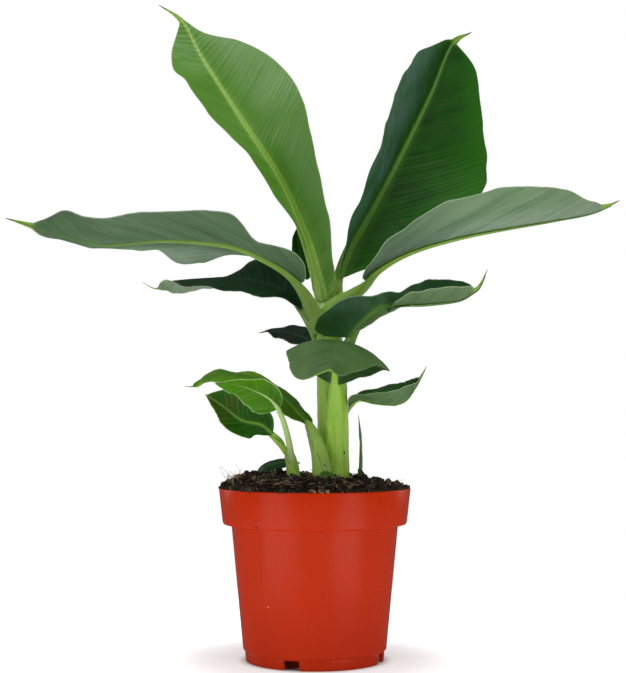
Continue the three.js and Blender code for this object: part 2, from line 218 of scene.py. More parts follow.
# ---- materials ----
class Graph:
    """A material's node tree, with one short call for each kind of node that the finishes use."""

    def __init__(self, name: str, roughness: float = 0.5, **constants: float) -> None:
        """Starts a material with its even values on the shader's own sockets.

        Args:
            name: The material's name.
            roughness: Roughness where no node changes it.
            **constants: Other even values, by socket name with _ for a space.
        """
        self.material = bpy.data.materials.new(name)
        self.material.use_nodes = True
        tree = self.material.node_tree
        self.nodes, self.links = tree.nodes, tree.links
        self.shader = self.nodes["Principled BSDF"]
        self.shader.inputs["Roughness"].default_value = roughness
        for key, value in constants.items():
            self.shader.inputs[key.replace("_", " ")].default_value = value

    def feed(self, socket: Socket, value: object) -> None:
        """Links a socket to another node's output, or sets it.

        Args:
            socket: The input.
            value: The output to link, or the value to set.
        """
        if isinstance(value, bpy.types.NodeSocket):
            self.links.new(value, socket)
        else:
            socket.default_value = value

    def put(
        self, kind: str, inputs: dict[str | int, object], out: str | int = 0, **settings: object
    ) -> Socket:
        """Adds a node.

        Args:
            kind: The node's type, without its ShaderNode prefix.
            inputs: Values or outputs for its inputs, by name or number.
            out: The output to return.
            **settings: The node's own settings.

        Returns:
            The chosen output.
        """
        node = self.nodes.new("ShaderNode" + kind)
        for key, value in settings.items():
            setattr(node, key, value)
        for key, value in inputs.items():
            self.feed(node.inputs[key], value)
        return node.outputs[out]

    def sum(self, kind: str, a: object, b: object = 0.0) -> Socket:
        """A Math node of one kind on one or two values."""
        return self.put("Math", {0: a, 1: b}, operation=kind)

    def times(self, a: object, b: object) -> Socket:
        """The product of two values."""
        return self.sum("MULTIPLY", a, b)

    def plus(self, a: object, b: object) -> Socket:
        """The sum of two values."""
        return self.sum("ADD", a, b)

    def grade(self, value: object, low: float, high: float, start: float = 0.0, end: float = 1.0) -> Socket:
        """Eases from start to end as a value goes from low to high.

        Args:
            value: The value to grade.
            low: Where the change starts.
            high: Where it ends.
            start: The result at low.
            end: The result at high.

        Returns:
            The graded value.
        """
        limits = {"From Min": low, "From Max": high, "To Min": start, "To Max": end}
        return self.put("MapRange", {"Value": value, **limits}, interpolation_type="SMOOTHSTEP")

    def mix(self, share: object, a: object, b: object) -> Socket:
        """Mixes two colours."""
        return self.put("Mix", {0: share, 6: a, 7: b}, out=2, data_type="RGBA")

    def attribute(self, name: str) -> tuple[Socket, Socket, Socket]:
        """The three parts of a piece's vector attribute.

        Args:
            name: The attribute's name.

        Returns:
            Its x, y and z.
        """
        node = self.nodes.new("ShaderNodeAttribute")
        node.attribute_name = name
        parts = self.nodes.new("ShaderNodeSeparateXYZ")
        self.links.new(node.outputs["Vector"], parts.inputs[0])
        return parts.outputs[0], parts.outputs[1], parts.outputs[2]

    def place(self) -> Socket:
        """Object coordinates."""
        return self.nodes.new("ShaderNodeTexCoord").outputs["Object"]

    def vector(self, x: object, y: object, z: object) -> Socket:
        """A vector from three values."""
        return self.put("CombineXYZ", {0: x, 1: y, 2: z})

    def stretch(self, vector: Socket, x: float, y: float, z: float) -> Socket:
        """A vector scaled along each axis."""
        return self.put("VectorMath", {0: vector, 1: (x, y, z)}, operation="MULTIPLY")

    def noise(self, vector: Socket, scale: float, detail: float = 2.0, rough: float = 0.5) -> Socket:
        """Noise, from about 0.2 to 0.8.

        Args:
            vector: Where it is read.
            scale: Features per unit.
            detail: Finer layers.
            rough: Strength of the finer layers.

        Returns:
            The noise value.
        """
        inputs = {"Vector": vector, "Scale": scale, "Detail": detail, "Roughness": rough}
        return self.put("TexNoise", inputs)

    def grain(
        self,
        run: object,
        side: object,
        fine: float,
        wide: float,
        seed: float,
        detail: float = 2.0,
        rough: float = 0.5,
    ) -> Socket:
        """Noise drawn out across a blade, on its run and its side.

        Args:
            run: Distance along the blade, or along its side veins.
            side: Distance from the midrib.
            fine: Features per centimetre of the run.
            wide: Features per centimetre of the side.
            seed: Shifts the pattern.
            detail: Finer layers.
            rough: Strength of the finer layers.

        Returns:
            The noise value.
        """
        place = self.vector(self.times(run, fine), self.times(side, wide), seed)
        return self.noise(place, 1.0, detail, rough)

    def specks(self, vector: Socket, scale: float, size: float, share: float) -> Socket:
        """Small round spots in some of the cells of a random pattern.

        Args:
            vector: Where the pattern is read.
            scale: Cells per unit.
            size: Radius of a spot as a share of its cell.
            share: Share of cells that have one.

        Returns:
            1 in a spot and 0 outside it.
        """
        node = self.nodes.new("ShaderNodeTexVoronoi")
        self.feed(node.inputs["Vector"], vector)
        self.feed(node.inputs["Scale"], scale)
        spot = self.grade(node.outputs["Distance"], size * 0.6, size, 1.0, 0.0)
        pick = self.put("SeparateColor", {0: node.outputs["Color"]})
        return self.times(spot, self.sum("LESS_THAN", pick, share))

    def bump(self, height: Socket, depth: float) -> None:
        """Gives the shader a relief.

        Args:
            height: The relief, from 0 to 1.
            depth: Its depth in millimetres.
        """
        inputs = {"Strength": 1.0, "Distance": depth * MM, "Height": height}
        self.feed(self.shader.inputs["Normal"], self.put("Bump", inputs))

    def colour(self, value: Socket) -> None:
        """Gives the shader its colour."""
        self.feed(self.shader.inputs["Base Color"], value)

    def roughness(self, value: Socket) -> None:
        """Gives the shader its roughness."""
        self.feed(self.shader.inputs["Roughness"], value)


@dataclass(frozen=True)
class FaceFinish:
    """Look of one face of a leaf blade.

    Attributes:
        body: Colour of the tissue.
        streak: Colour of its lighter streaks and of its outer part.
        rib: Colour beside the midrib.
        edge: Colour of the side veins and the margin.
        gloss: Roughness.
        halo: Strength of the rib's colour round the midrib.
        veined: Strength of the side veins.
        shine: Specular level.
        outer: Strength of the streaks' colour towards the margin.
        tip: Colour of the drip tip.
        dry: Colour of the drip tip's dry end.
        patch: Colour of the dry patches near the tip.
        patchy: Strength of those patches.
        tint_and_painted_sheen: Colour of the pale patches, partly painted sheen and reflection, partly a
            tint.
        tint_and_sheen_strength: Greatest strength of those patches.
        tint_and_sheen_side: Where the patches lie: 1 right half, -1 left half, 0 a band along the midrib.
        painted_base_shade: Strength of the painted shade, a darker colour, at the base of the blade.
        painted_base_shade_tone: The colour of that painted shade.
        ridged: Strength of the relief.
        spread: Width of the change from body to streak.
    """

    body: str
    streak: str
    rib: str
    edge: str
    gloss: float = 0.42
    halo: float = 0.25
    veined: float = 0.14
    shine: float = 0.3
    outer: float = 0.35
    tip: str = "9ACA48"
    dry: str = "3A2A18"
    patch: str = "6B3A1E"
    patchy: float = 0.0
    tint_and_painted_sheen: str = "9CB98C"
    tint_and_sheen_strength: float = 0.0
    tint_and_sheen_side: float = 1.0
    painted_base_shade: float = 0.0
    painted_base_shade_tone: str = "2E4016"
    ridged: float = 1.0
    spread: float = 0.35

    def material(self, name: str, slant: float, pitch: float, tail: float, seed: int) -> bpy.types.Material:
        """Makes the face's material.

        Args:
            name: The material's name.
            slant: Centimetres that a side vein runs towards the tip for each one it runs outwards.
            pitch: Distance between fine veins in centimetres.
            tail: Share of the blade that is the drip tip.
            seed: Shifts the random patterns.

        Returns:
            The material.
        """
        g = Graph(name, roughness=self.gloss, Specular_IOR_Level=self.shine)
        pitch *= math.hypot(1.0, slant)
        run, side, margin = g.attribute("blade")
        share, far_out, rib = g.attribute("zone")
        reach = g.sum("ABSOLUTE", side)
        lane = g.sum("SUBTRACT", run, g.times(reach, slant))
        lane = g.sum("SUBTRACT", lane, g.times(g.times(reach, reach), 0.05))
        fine = g.grain(lane, side, 1 / pitch, 0.2, seed, rough=0.6)
        broad = g.grain(lane, side, 0.8, 0.25, seed + 9, detail=3.0)
        drift = g.grain(lane, side, 0.9, 0.12, seed + 4, detail=1.0)
        course = g.plus(g.times(lane, 1 / (2.2 * pitch)), g.times(drift, 1.6))
        ridge = g.sum("PINGPONG", course, 0.5)
        strength = g.grain(lane, side, 1.4, 0.6, seed + 6)
        veins = g.times(g.grade(ridge, 0.03, 0.17, 1.0, 0.0), g.grade(strength, 0.38, 0.62, 0.15, 1.0))
        veins = g.times(veins, g.grade(share, 0.78, 0.92, 1.0, 0.0))
        mottle = g.noise(g.place(), 55.0, 4.0, 0.6)
        streaks = g.grade(broad, 0.5 - self.spread, 0.5 + self.spread)
        shade = g.mix(streaks, tone(self.body), tone(self.streak))
        shade = g.mix(g.grade(mottle, 0.4, 0.7, 0.0, 0.3), shade, tone(self.streak))
        shade = g.mix(g.grade(far_out, 0.4, 1.0, 0.0, self.outer), shade, tone(self.streak))
        # Pale patches, partly a painted sheen and painted reflection of the lamps, partly a plain tint.
        if self.tint_and_sheen_strength:
            cloudy, streaky = (0.3, 0.6), (0.7, 5.0)
            sheen_patches = g.grain(run, side, *(cloudy if self.tint_and_sheen_side else streaky), seed + 13)
            sheen_patches = g.grade(sheen_patches, 0.32, 0.62, 0.25, self.tint_and_sheen_strength)
            onwards = g.grade(reach, 0.5, 1.3, 1.0, 0.0)
            if self.tint_and_sheen_side:
                onwards = g.grade(g.times(side, self.tint_and_sheen_side), 0.2, 2.2)
            shade = g.mix(g.times(sheen_patches, onwards), shade, tone(self.tint_and_painted_sheen))
        shade = g.mix(g.times(veins, self.veined * 1.8), shade, tone(self.edge))
        # Painted shade: the blade darkens towards its base, where it lies in the shade of the crown.
        if self.painted_base_shade:
            shade = g.mix(g.grade(share, 0.15, 0.6, self.painted_base_shade, 0.0), shade, tone(self.painted_base_shade_tone))
        shade = g.mix(g.grade(rib, 1.0, 3.0, self.halo, 0.0), shade, tone(self.rib))
        shade = g.mix(g.grade(rib, 0.8, 1.15, 1.0, 0.0), shade, tone(self.rib))
        shade = g.mix(g.grade(margin, 0.03, 0.085, 0.7, 0.0), shade, tone(self.edge))
        if self.patchy:
            blot = g.noise(g.place(), 38.0, 3.0, 0.55)
            near_tip = g.grade(share, 0.45, 0.75, 0.0, self.patchy)
            shade = g.mix(g.times(g.grade(blot, 0.48, 0.62), near_tip), shade, tone(self.patch))
        shade = g.mix(g.grade(share, 1 - tail * 1.2, 1 - tail * 0.8, 0.0, 0.9), shade, tone(self.tip))
        shade = g.mix(g.grade(share, 1 - tail * 0.4, 1 - tail * 0.15, 0.0, 0.9), shade, tone(self.dry))
        g.colour(shade)
        uneven = g.plus(fine, g.times(mottle, 0.5))
        g.roughness(g.grade(uneven, 0.45, 1.05, self.gloss - 0.05, self.gloss + 0.08))
        grain = g.noise(g.place(), 900.0, 2.0)
        relief = g.plus(g.times(fine, 0.5), g.times(g.grade(ridge, 0.0, 0.5), 1.2))
        relief = g.plus(relief, g.plus(g.times(broad, 0.35), g.times(grain, 0.1)))
        g.bump(relief, 0.16 * self.ridged)
        return g.material


@dataclass(frozen=True)
class StalkFinish:
    """Look of petioles, midribs and sheathed stems.

    Attributes:
        light: The lighter green.
        dark: The darker green of its lines.
        lip: Colour of a petiole's lips, or of the edges of a stem's sheaths.
        blade: Colour of the midrib towards the tip, or of the stem between its sheaths.
        lipped: Strength of the sheaths' edges.
        cloud: Colour of a stem's soft pale clouds.
        foot: Colour of a stem near the soil.
        speck: Colour of a stem's small dark spots.
    """

    light: str = "9CC355"
    dark: str = "6E9A36"
    lip: str = "C9DDA0"
    blade: str = "6E9A3E"
    lipped: float = 0.3
    cloud: str = "A9CC62"
    foot: str = "6B5A2C"
    speck: str = "2E2A12"

    def stalk(self, name: str, seed: int) -> bpy.types.Material:
        """Makes the material of a petiole that runs on as a midrib.

        Args:
            name: The material's name.
            seed: Shifts the random patterns.

        Returns:
            The material.
        """
        g = Graph(name, roughness=0.4, Sheen_Weight=0.04)
        turn, rise, run = g.attribute("skin")
        share, lip, _ = g.attribute("zone")
        course = g.plus(g.times(run, 0.35), seed)
        lines = g.noise(g.vector(g.times(turn, 7.0), g.times(rise, 7.0), course), 1.0, 3.0, 0.6)
        mottle = g.noise(g.place(), 120.0, 3.0)
        shade = g.mix(g.grade(lines, 0.3, 0.72, 0.0, 0.7), tone(self.light), tone(self.dark))
        shade = g.mix(g.grade(share, 0.15, 1.0), shade, tone(self.blade))
        shade = g.mix(g.grade(rise, -0.2, 0.7, 0.0, 0.35), shade, tone(self.dark))
        shade = g.mix(g.grade(lip, 0.7, 1.0, 0.0, 0.8), shade, tone(self.lip))
        shade = g.mix(g.grade(mottle, 0.5, 0.8, 0.0, 0.2), shade, tone(self.lip))
        g.colour(shade)
        g.roughness(g.grade(lines, 0.3, 0.75, 0.34, 0.5))
        g.bump(g.plus(lines, g.times(mottle, 0.4)), 0.12)
        return g.material

    def stem(self, name: str, spots: float) -> bpy.types.Material:
        """Makes the material of a stem of rolled leaf sheaths.

        Args:
            name: The material's name.
            spots: Share of the cells that carry a small dark spot.

        Returns:
            The material.
        """
        g = Graph(name, roughness=0.42, Sheen_Weight=0.04)
        x, y, run = g.attribute("skin")
        edge, layer, height = g.attribute("sheath")
        grain = g.vector(g.times(x, 11.0), g.times(y, 11.0), g.times(run, 0.5))
        lines = g.noise(grain, 1.0, 3.0, 0.65)
        cloud = g.noise(g.stretch(g.place(), 1.0, 1.0, 0.35), 90.0, 3.0)
        shade = g.mix(g.grade(lines, 0.3, 0.7, 0.1, 0.7), tone(self.light), tone(self.dark))
        shade = g.mix(g.grade(layer, 0.0, 1.0, 0.7, 0.0), shade, tone(self.blade))
        shade = g.mix(g.grade(cloud, 0.4, 0.75, 0.0, 0.4), shade, tone(self.cloud))
        shade = g.mix(g.grade(edge, 0.01, 0.04, self.lipped, 0.0), shade, tone(self.lip))
        shade = g.mix(g.grade(height, 0.0, 0.12, 0.55, 0.0), shade, tone(self.foot))
        dots = g.specks(g.stretch(g.place(), 1.0, 1.0, 0.55), 330.0, 0.26, spots)
        shade = g.mix(g.times(dots, 0.85), shade, tone(self.speck))
        g.colour(shade)
        g.roughness(g.grade(lines, 0.3, 0.75, 0.36, 0.52))
        g.bump(g.plus(lines, g.times(cloud, 0.3)), 0.12)
        return g.material


@dataclass(frozen=True)
class PotFinish:
    """Moulded terracotta-orange plastic, softly glossy, with scuffs and specks of compost.

    Attributes:
        body: The plastic's colour.
        deep: Its darker clouds.
        scuff: The colour of rubbed marks.
        dust: The colour of pale specks.
        speck: The colour of dark specks.
    """

    body: str = "C02C00"
    deep: str = "B62800"
    scuff: str = "D8795A"
    dust: str = "E3A48C"
    speck: str = "2A120A"

    def material(self) -> bpy.types.Material:
        """Makes the plastic.

        Returns:
            The material.
        """
        g = Graph("pot_plastic", roughness=0.27, Specular_IOR_Level=0.18)
        place = g.place()
        cloud = g.noise(place, 14.0, 3.0)
        shade = g.mix(g.grade(cloud, 0.2, 0.8), tone(self.body), tone(self.deep))
        rub = g.noise(g.stretch(place, 1.0, 1.0, 0.2), 110.0, 3.0, 0.6)
        shade = g.mix(g.grade(rub, 0.62, 0.8, 0.0, 0.05), shade, tone(self.scuff))
        shade = g.mix(g.specks(place, 70.0, 0.05, 0.35), shade, tone(self.dust))
        shade = g.mix(g.specks(g.stretch(place, 1.0, 1.0, 0.8), 46.0, 0.055, 0.42), shade, tone(self.speck))
        g.colour(shade)
        g.roughness(g.grade(rub, 0.15, 0.85, 0.24, 0.29))
        g.bump(g.noise(place, 260.0, 2.0), 0.03)
        return g.material


@dataclass(frozen=True)
class EarthFinish:
    """A crumbly, matt finish whose lightness differs from crumb to crumb.

    Attributes:
        dark: The darkest colour.
        light: The lightest colour.
        odd: Colour of the few crumbs that differ.
        relief: Depth of the grain in millimetres.
    """

    dark: str
    light: str
    odd: str
    relief: float = 0.5

    def material(self, name: str) -> bpy.types.Material:
        """Makes the finish.

        Args:
            name: The material's name.

        Returns:
            The material.
        """
        g = Graph(name, roughness=0.85, Specular_IOR_Level=0.3)
        draw, kind, _ = g.attribute("crumb")
        fine = g.noise(g.place(), 700.0, 4.0, 0.7)
        shade = g.mix(g.grade(fine, 0.35, 0.72), tone(self.dark), tone(self.light))
        shade = g.mix(g.grade(draw, 0.2, 1.0, 0.0, 0.6), shade, tone(self.light))
        shade = g.mix(g.grade(kind, 0.86, 0.95), shade, tone(self.odd))
        g.colour(shade)
        g.roughness(g.grade(fine, 0.3, 0.7, 0.7, 0.95))
        g.bump(fine, self.relief)
        return g.material


BED_FINISH = EarthFinish("100B08", "38291F", "5A4432", 0.8)
CRUMB_FINISH = EarthFinish("0D0907", "47362A", "927350", 0.5)
FIBRE_FINISH = EarthFinish("7E5A3E", "DAC6A0", "5A2E1A", 0.2)


# ---- meshes ----
POT_CREASE = 35.0
BLADE_CREASE = 60.0
NO_CREASE = 180.0
Shaper = Callable[[Array], tuple[Array, dict[str, Array]]]


def settle(
    name: str,
    bm: bmesh.types.BMesh,
    materials: Sequence[bpy.types.Material],
    nodes: Sequence[str] = (),
    shaper: Shaper | None = None,
    crease: float = 40.0,
) -> bpy.types.Object:
    """Turns a bmesh into a dressed piece of the plant that rides on the body.

    Args:
        name: The piece's name.
        bm: The mesh, which is freed.
        materials: Its materials, in the order of the faces' indices.
        nodes: CAD nodes that it stands for.
        shaper: Moves the vertices and gives their attributes.
        crease: Angle in degrees from which an edge is sharp.

    Returns:
        The piece.
    """
    mesh = bpy.data.meshes.new(name)
    bm.to_mesh(mesh)
    bm.free()
    for material in materials:
        mesh.materials.append(material)
    if shaper is not None:
        flat = np.empty(len(mesh.vertices) * 3)
        mesh.vertices.foreach_get("co", flat)
        places, attributes = shaper(flat.reshape(-1, 3))
        mesh.vertices.foreach_set("co", (places * MM).ravel())
        for key, values in attributes.items():
            layer = mesh.attributes.new(key, "FLOAT_VECTOR", "POINT")
            layer.data.foreach_set("vector", np.ascontiguousarray(values, dtype=np.float32).ravel())
    mesh.update()
    mesh.shade_smooth()
    mesh.set_sharp_from_angle(angle=math.radians(crease))
    piece = bpy.data.objects.new(name, mesh)
    bpy.context.scene.collection.objects.link(piece)
    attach(piece, BODY)
    if nodes:
        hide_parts(*nodes)
    LOG.info("%s: %d faces", name, len(mesh.polygons))
    return piece


def face_outwards(bm: bmesh.types.BMesh) -> bmesh.types.BMesh:
    """Merges doubles and turns all faces outwards.

    Args:
        bm: The mesh.

    Returns:
        The same mesh.
    """
    bmesh.ops.remove_doubles(bm, verts=bm.verts, dist=1e-6)
    bmesh.ops.recalc_face_normals(bm, faces=bm.faces)
    return bm


def flat_sheet(steps_along: int, steps_across: int) -> bmesh.types.BMesh:
    """A flat slab one unit each way: x runs along it, y across it and z through it.

    Its upper faces have material 0 and its under faces and rim material 1.

    Args:
        steps_along: Faces along x.
        steps_across: Faces along y.

    Returns:
        The mesh.
    """
    bm = bmesh.new()
    bmesh.ops.create_grid(bm, x_segments=steps_along, y_segments=steps_across, size=0.5)
    grown = bmesh.ops.extrude_face_region(bm, geom=list(bm.faces), use_keep_orig=True)
    risen = [part for part in grown["geom"] if isinstance(part, bmesh.types.BMVert)]
    bmesh.ops.translate(bm, verts=risen, vec=(0, 0, 1))
    bmesh.ops.recalc_face_normals(bm, faces=bm.faces)
    for face in bm.faces:
        face.material_index = 0 if face.normal.z > 0.5 else 1
    return bm


def round_bar(facets: int, rings: int) -> bmesh.types.BMesh:
    """A unit cylinder from z -0.5 to 0.5, with rings along it and closed ends.

    Args:
        facets: Faces round it.
        rings: Faces along it.

    Returns:
        The mesh.
    """
    bm = bmesh.new()
    bmesh.ops.create_cone(bm, cap_ends=True, segments=facets, radius1=1, radius2=1, depth=1)
    sides = [edge for edge in bm.edges if abs(edge.verts[0].co.z - edge.verts[1].co.z) > 0.5]
    bmesh.ops.subdivide_edges(bm, edges=sides, cuts=rings - 1, use_grid_fill=True)
    return face_outwards(bm)


def multiplied(seed: bmesh.types.BMesh, count: int) -> bmesh.types.BMesh:
    """Copies a small shape in place until there are enough of it, one copy's vertices after the other's.

    Args:
        seed: The shape, which grows.
        count: How many there are in the end.

    Returns:
        The same mesh.
    """
    each = len(seed.verts), len(seed.edges), len(seed.faces)
    made = 1
    while made < count:
        more = min(made, count - made)
        parts = zip((seed.verts, seed.edges, seed.faces), each)
        bmesh.ops.duplicate(seed, geom=[part for group, size in parts for part in list(group)[: size * more]])
        made += more
    return seed


def turns(draw: np.random.Generator, count: int) -> Array:
    """Draws random turns.

    Args:
        draw: The random numbers.
        count: How many.

    Returns:
        One 3 by 3 matrix for each.
    """
    return np.array([Euler(angles).to_matrix() for angles in draw.uniform(0, 2 * np.pi, (count, 3))])


def turned(profile: Sequence[tuple[float, float]], steps: int, angle: float = 360.0) -> bmesh.types.BMesh:
    """Spins a closed outline round the Z axis.

    Args:
        profile: Radius and height of each corner, in millimetres.
        steps: Faces round the spin.
        angle: How far it turns in degrees.

    Returns:
        The mesh, in millimetres.
    """
    bm = bmesh.new()
    corners = [bm.verts.new((radius, 0, height)) for radius, height in profile]
    edges = [bm.edges.new((corners[i - 1], corners[i])) for i in range(len(corners))]
    whole = angle >= 360
    start = [*corners, *edges] if whole else [*corners, *edges, bm.faces.new(corners)]
    bmesh.ops.spin(
        bm, geom=start, axis=UP, cent=(0, 0, 0), angle=math.radians(angle), steps=steps, use_merge=whole
    )
    return face_outwards(bm)


# ---- leaves ----
@dataclass(frozen=True)
class LeafForm:
    """Shape of one leaf.

    Runs of values are spread evenly along the blade. Left and right are as seen along the blade from above.

    Attributes:
        name: Name of its CAD node.
        spine: Centre line of petiole and midrib, from the stem to the drip tip.
        stalk: Radii of the petiole, from the stem to the blade.
        blade_from: Share of the spine before the blade.
        tail: Share of the blade that is the thin drip tip.
        half_left: Greatest half widths of the left half.
        half_right: Greatest half widths of the right half.
        widest: Share of the blade where it is widest.
        base: Bluntness of the base, smaller is blunter, of the left and the right half.
        tip: Bluntness of the tip of the left and the right half.
        roll: Turn about the midrib.
        fold_left: Rise of the left half from flat.
        fold_right: Rise of the right half from flat.
        ripple: Height of the wavy margin and the number of its waves.
        curl_left: Curve of the left half.
        curl_right: Curve of the right half.
        sweep: Slant of both halves towards the tip.
        rib: Half the width of the midrib where it starts, and how fast it tapers.
        hook: Half the width of the drip tip where it starts.
        ragged: Depth of the uneven margin.
        quilt: Height of the rise between side veins.
        flare: How much wider the petiole is where it clasps the stem.
        sink: How far the foot of the petiole is drawn into the stem.
        slant: Slant of the side veins.
        pitch: Distance between fine veins in centimetres.
        groove: Depth of the channel along the midrib and petiole; below 0 it is a ridge.
        steps: Faces of the mesh along and across the blade.
    """

    name: str
    spine: tuple[tuple[float, float, float], ...]
    stalk: Run
    blade_from: float
    tail: float
    half_left: Run
    half_right: Run
    widest: float
    base: Run
    tip: Run
    roll: Run
    fold_left: Run
    fold_right: Run
    ripple: tuple[float, float]
    curl_left: Run = (0.0,)
    curl_right: Run = (0.0,)
    sweep: Run = (0.0,)
    rib: tuple[float, float] = (1.6, 1.0)
    hook: float = 1.3
    ragged: float = 0.35
    quilt: float = 0.22
    flare: float = 0.5
    sink: tuple[float, float, float] = (0.0, 0.0, 0.0)
    slant: float = 0.45
    pitch: float = 0.17
    groove: float = 1.0
    steps: tuple[int, int] = (130, 44)


@dataclass
class Leaf:
    """A leaf: a thin blade on both sides of a midrib that goes on as the petiole.

    Attributes:
        form: Its shape.
        slot: A material slot of the blade; not used.
        upper: Finish of the upper face.
        under: Finish of the under face.
        green: Finish of the petiole and midrib.
        seed: Picks its random patterns.
        sheet: Thickness of the blade.
        crowding: How much closer the faces lie to the midrib, 1 for even.
        in_frame: Whether it stands for a CAD node.
        stalk_mesh: Faces round and along the petiole and midrib.
        stalk_end: Share of the spine where the raised midrib ends.
    """

    form: LeafForm
    slot: Slot
    upper: FaceFinish
    under: FaceFinish
    green: StalkFinish = field(default_factory=StalkFinish)
    seed: int = 1
    sheet: float = 0.5
    crowding: float = 1.35
    in_frame: bool = True
    stalk_mesh: tuple[int, int] = (26, 110)
    stalk_end: float = 0.97

    def __post_init__(self) -> None:
        """Measures the spine."""
        self.spine = Spine(self.form.spine)

    def outline(self, t: Array, right: Array) -> Array:
        """Half the width of the blade as a share of its greatest.

        Args:
            t: Shares of the blade.
            right: Whether each place is on the right half.

        Returns:
            0 at both ends and 1 where it is widest.
        """
        form, quarter = self.form, np.pi / 2
        share = np.clip(t / (1 - form.tail), 0, 1)
        base = np.where(right, form.base[-1], form.base[0])
        tip = np.where(right, form.tip[-1], form.tip[0])
        rise = np.sin(quarter * np.clip(share / form.widest, 0, 1)) ** base
        fall = np.cos(quarter * np.clip((share - form.widest) / (1 - form.widest), 0, 1)) ** tip
        return np.where(share < form.widest, rise, fall)

    def rib_half(self, t: Array) -> Array:
        """Half the width of the midrib along the blade."""
        start, taper = self.form.rib
        return start * np.clip(1 - t, 0, 1) ** taper + 0.25

    def least_half(self, t: Array) -> Array:
        """Half the width that the blade keeps at its base and in its drip tip.

        Args:
            t: Shares of the blade.

        Returns:
            The half widths.
        """
        left = np.clip((1 - t) / (self.form.tail * 1.25), 0, 1)
        return np.where(t < 0.5, 0.45, 0.22 + self.form.hook * left**1.2 * ease(t, 0.5, 0.8))

    def lay_blade(self, flat: Array) -> tuple[Array, dict[str, Array]]:
        """Lays a flat slab along the spine as the blade.

        Args:
            flat: Vertices of the slab.

        Returns:
            The vertices in millimetres, and their attributes.
        """
        form = self.form
        t = flat[:, 0] + 0.5
        v = -np.sign(flat[:, 1]) * np.abs(flat[:, 1] * 2) ** self.crowding
        v[np.abs(v) < 1e-6] = 0
        right, hand, reach = v >= 0, np.where(v >= 0, 1.0, -1.0), np.abs(v)
        share = form.blade_from + (1 - form.blade_from) * t
        centre, tangent, normal, side = self.spine.frames(share, along(form.roll, t))

        def pick(left: Run, other: Run) -> Array:
            """Reads the run of the half that each vertex is on."""
            return np.where(right, along(other, t), along(left, t))

        length = self.spine.length * (1 - form.blade_from)
        shape = self.outline(t, right)
        torn = form.ragged * waver(t * length / 9 + np.where(right, 0, 40), self.seed, 4)
        width = pick(form.half_left, form.half_right) * shape + torn * np.minimum(1, shape * 2)
        least = self.least_half(t)
        width = np.where(t < 0.5, np.maximum(width, least), np.hypot(np.maximum(width, 0), least))
        fold = np.radians(pick(form.fold_left, form.fold_right))
        curl = np.radians(pick(form.curl_left, form.curl_right)) * reach
        slant = np.radians(along(form.sweep, t))
        chord = width * reach * np.sinc(curl / 2 / np.pi)
        lean = fold + curl / 2
        outward = across_vectors(hand * np.cos(lean), side) + across_vectors(np.sin(lean), normal)
        outward = across_vectors(np.cos(slant), outward) + across_vectors(np.sin(slant), tangent)
        bend = fold + curl
        skin = across_vectors(np.cos(bend), normal) - across_vectors(hand * np.sin(bend), side)
        rib = self.rib_half(t)
        across = width * reach
        near_rib = np.exp(-((across / (rib + 0.3)) ** 2))
        skin = across_vectors(near_rib, normal) + across_vectors(1 - near_rib, skin)
        skin /= np.linalg.norm(skin, axis=1, keepdims=True)

        height, waves = form.ripple
        full = np.minimum(1, width / 8)
        ripple = height * reach**2 * np.sin(2 * np.pi * (waves * t + np.where(right, 0.37, 0)))
        ripple += 0.55 * height * reach**3 * waver(t * waves * 1.6 + np.where(right, 7, 0), self.seed + 3, 3)
        lane = t * length - form.slant * across - 0.005 * across**2
        quilt = form.quilt * waver(lane / 6.5 + hand * 3, self.seed + 5, 2) * np.minimum(1, across / 4)
        quilt *= np.minimum(1, (width - across) / 3 + 0.25)
        channel = 0.22 * form.groove * rib * np.clip(1 - (across / (rib * 1.05)) ** 2, 0, 1) * (1 - t)
        upper = flat[:, 2] > 0.5
        thin = self.sheet * (0.55 + 0.45 * (1 - reach)) * np.minimum(1, 0.35 + width / 6)
        depth = np.where(upper, thin / 2, -thin / 2) - channel
        places = centre + across_vectors(chord, outward)
        places += across_vectors((ripple + quilt) * full + depth, skin)
        blade = np.stack([t * length * CM, hand * across * CM, (width - across) * CM], axis=1)
        zone = np.stack([t, reach, across / rib], axis=1)
        return places, {"blade": blade, "zone": zone}

    def lay_stalk(self, flat: Array) -> tuple[Array, dict[str, Array]]:
        """Lays a unit cylinder along the spine as the petiole and midrib.

        Args:
            flat: Vertices of the cylinder.

        Returns:
            The vertices in millimetres, and their attributes.
        """
        form = self.form
        share = (flat[:, 2] + 0.5) * self.stalk_end
        t = np.clip((share - form.blade_from) / (1 - form.blade_from), 0, 1)
        before = np.clip(share / form.blade_from, 0, 1)
        roll = along(form.roll, t) * ease(before, 0.0, 1.0)
        centre, _, normal, side = self.spine.frames(share, roll)
        swell = (form.stalk[-1] - self.rib_half(np.zeros(1))[0]) * np.exp(-t / 0.12)
        radius = np.where(share < form.blade_from, along(form.stalk, before), self.rib_half(t) + swell)
        distance = share * self.spine.length
        clasp = form.flare * np.exp(-((distance / 11) ** 2))
        turn, rise = flat[:, 0], flat[:, 1]
        sunk = ease(share, form.blade_from - 0.05, form.blade_from + 0.03)
        trough = np.exp(-((turn / 0.5) ** 2)) * 0.95 * max(form.groove, 0.0)
        top = np.where(rise > 0, rise * 0.85 - trough * 0.75 * np.clip(rise * 1.5, 0, 1), rise)
        buried = np.where(rise > -0.3, -0.3, rise * 0.95)
        height = top * (1 - sunk) + buried * sunk
        height *= ease(distance, -4.0, 14.0) if any(form.sink) and form.flare >= 0.5 else 1.0
        wide = turn * (1 + clasp)
        high = height * radius * (1 + clasp * 0.3)
        places = centre + across_vectors(wide * radius, side) + across_vectors(high, normal)
        places -= across_vectors(sunk * 0.12, normal)
        places += across_vectors((1 - ease(distance, 0, 15)) ** 2, np.array([form.sink]))
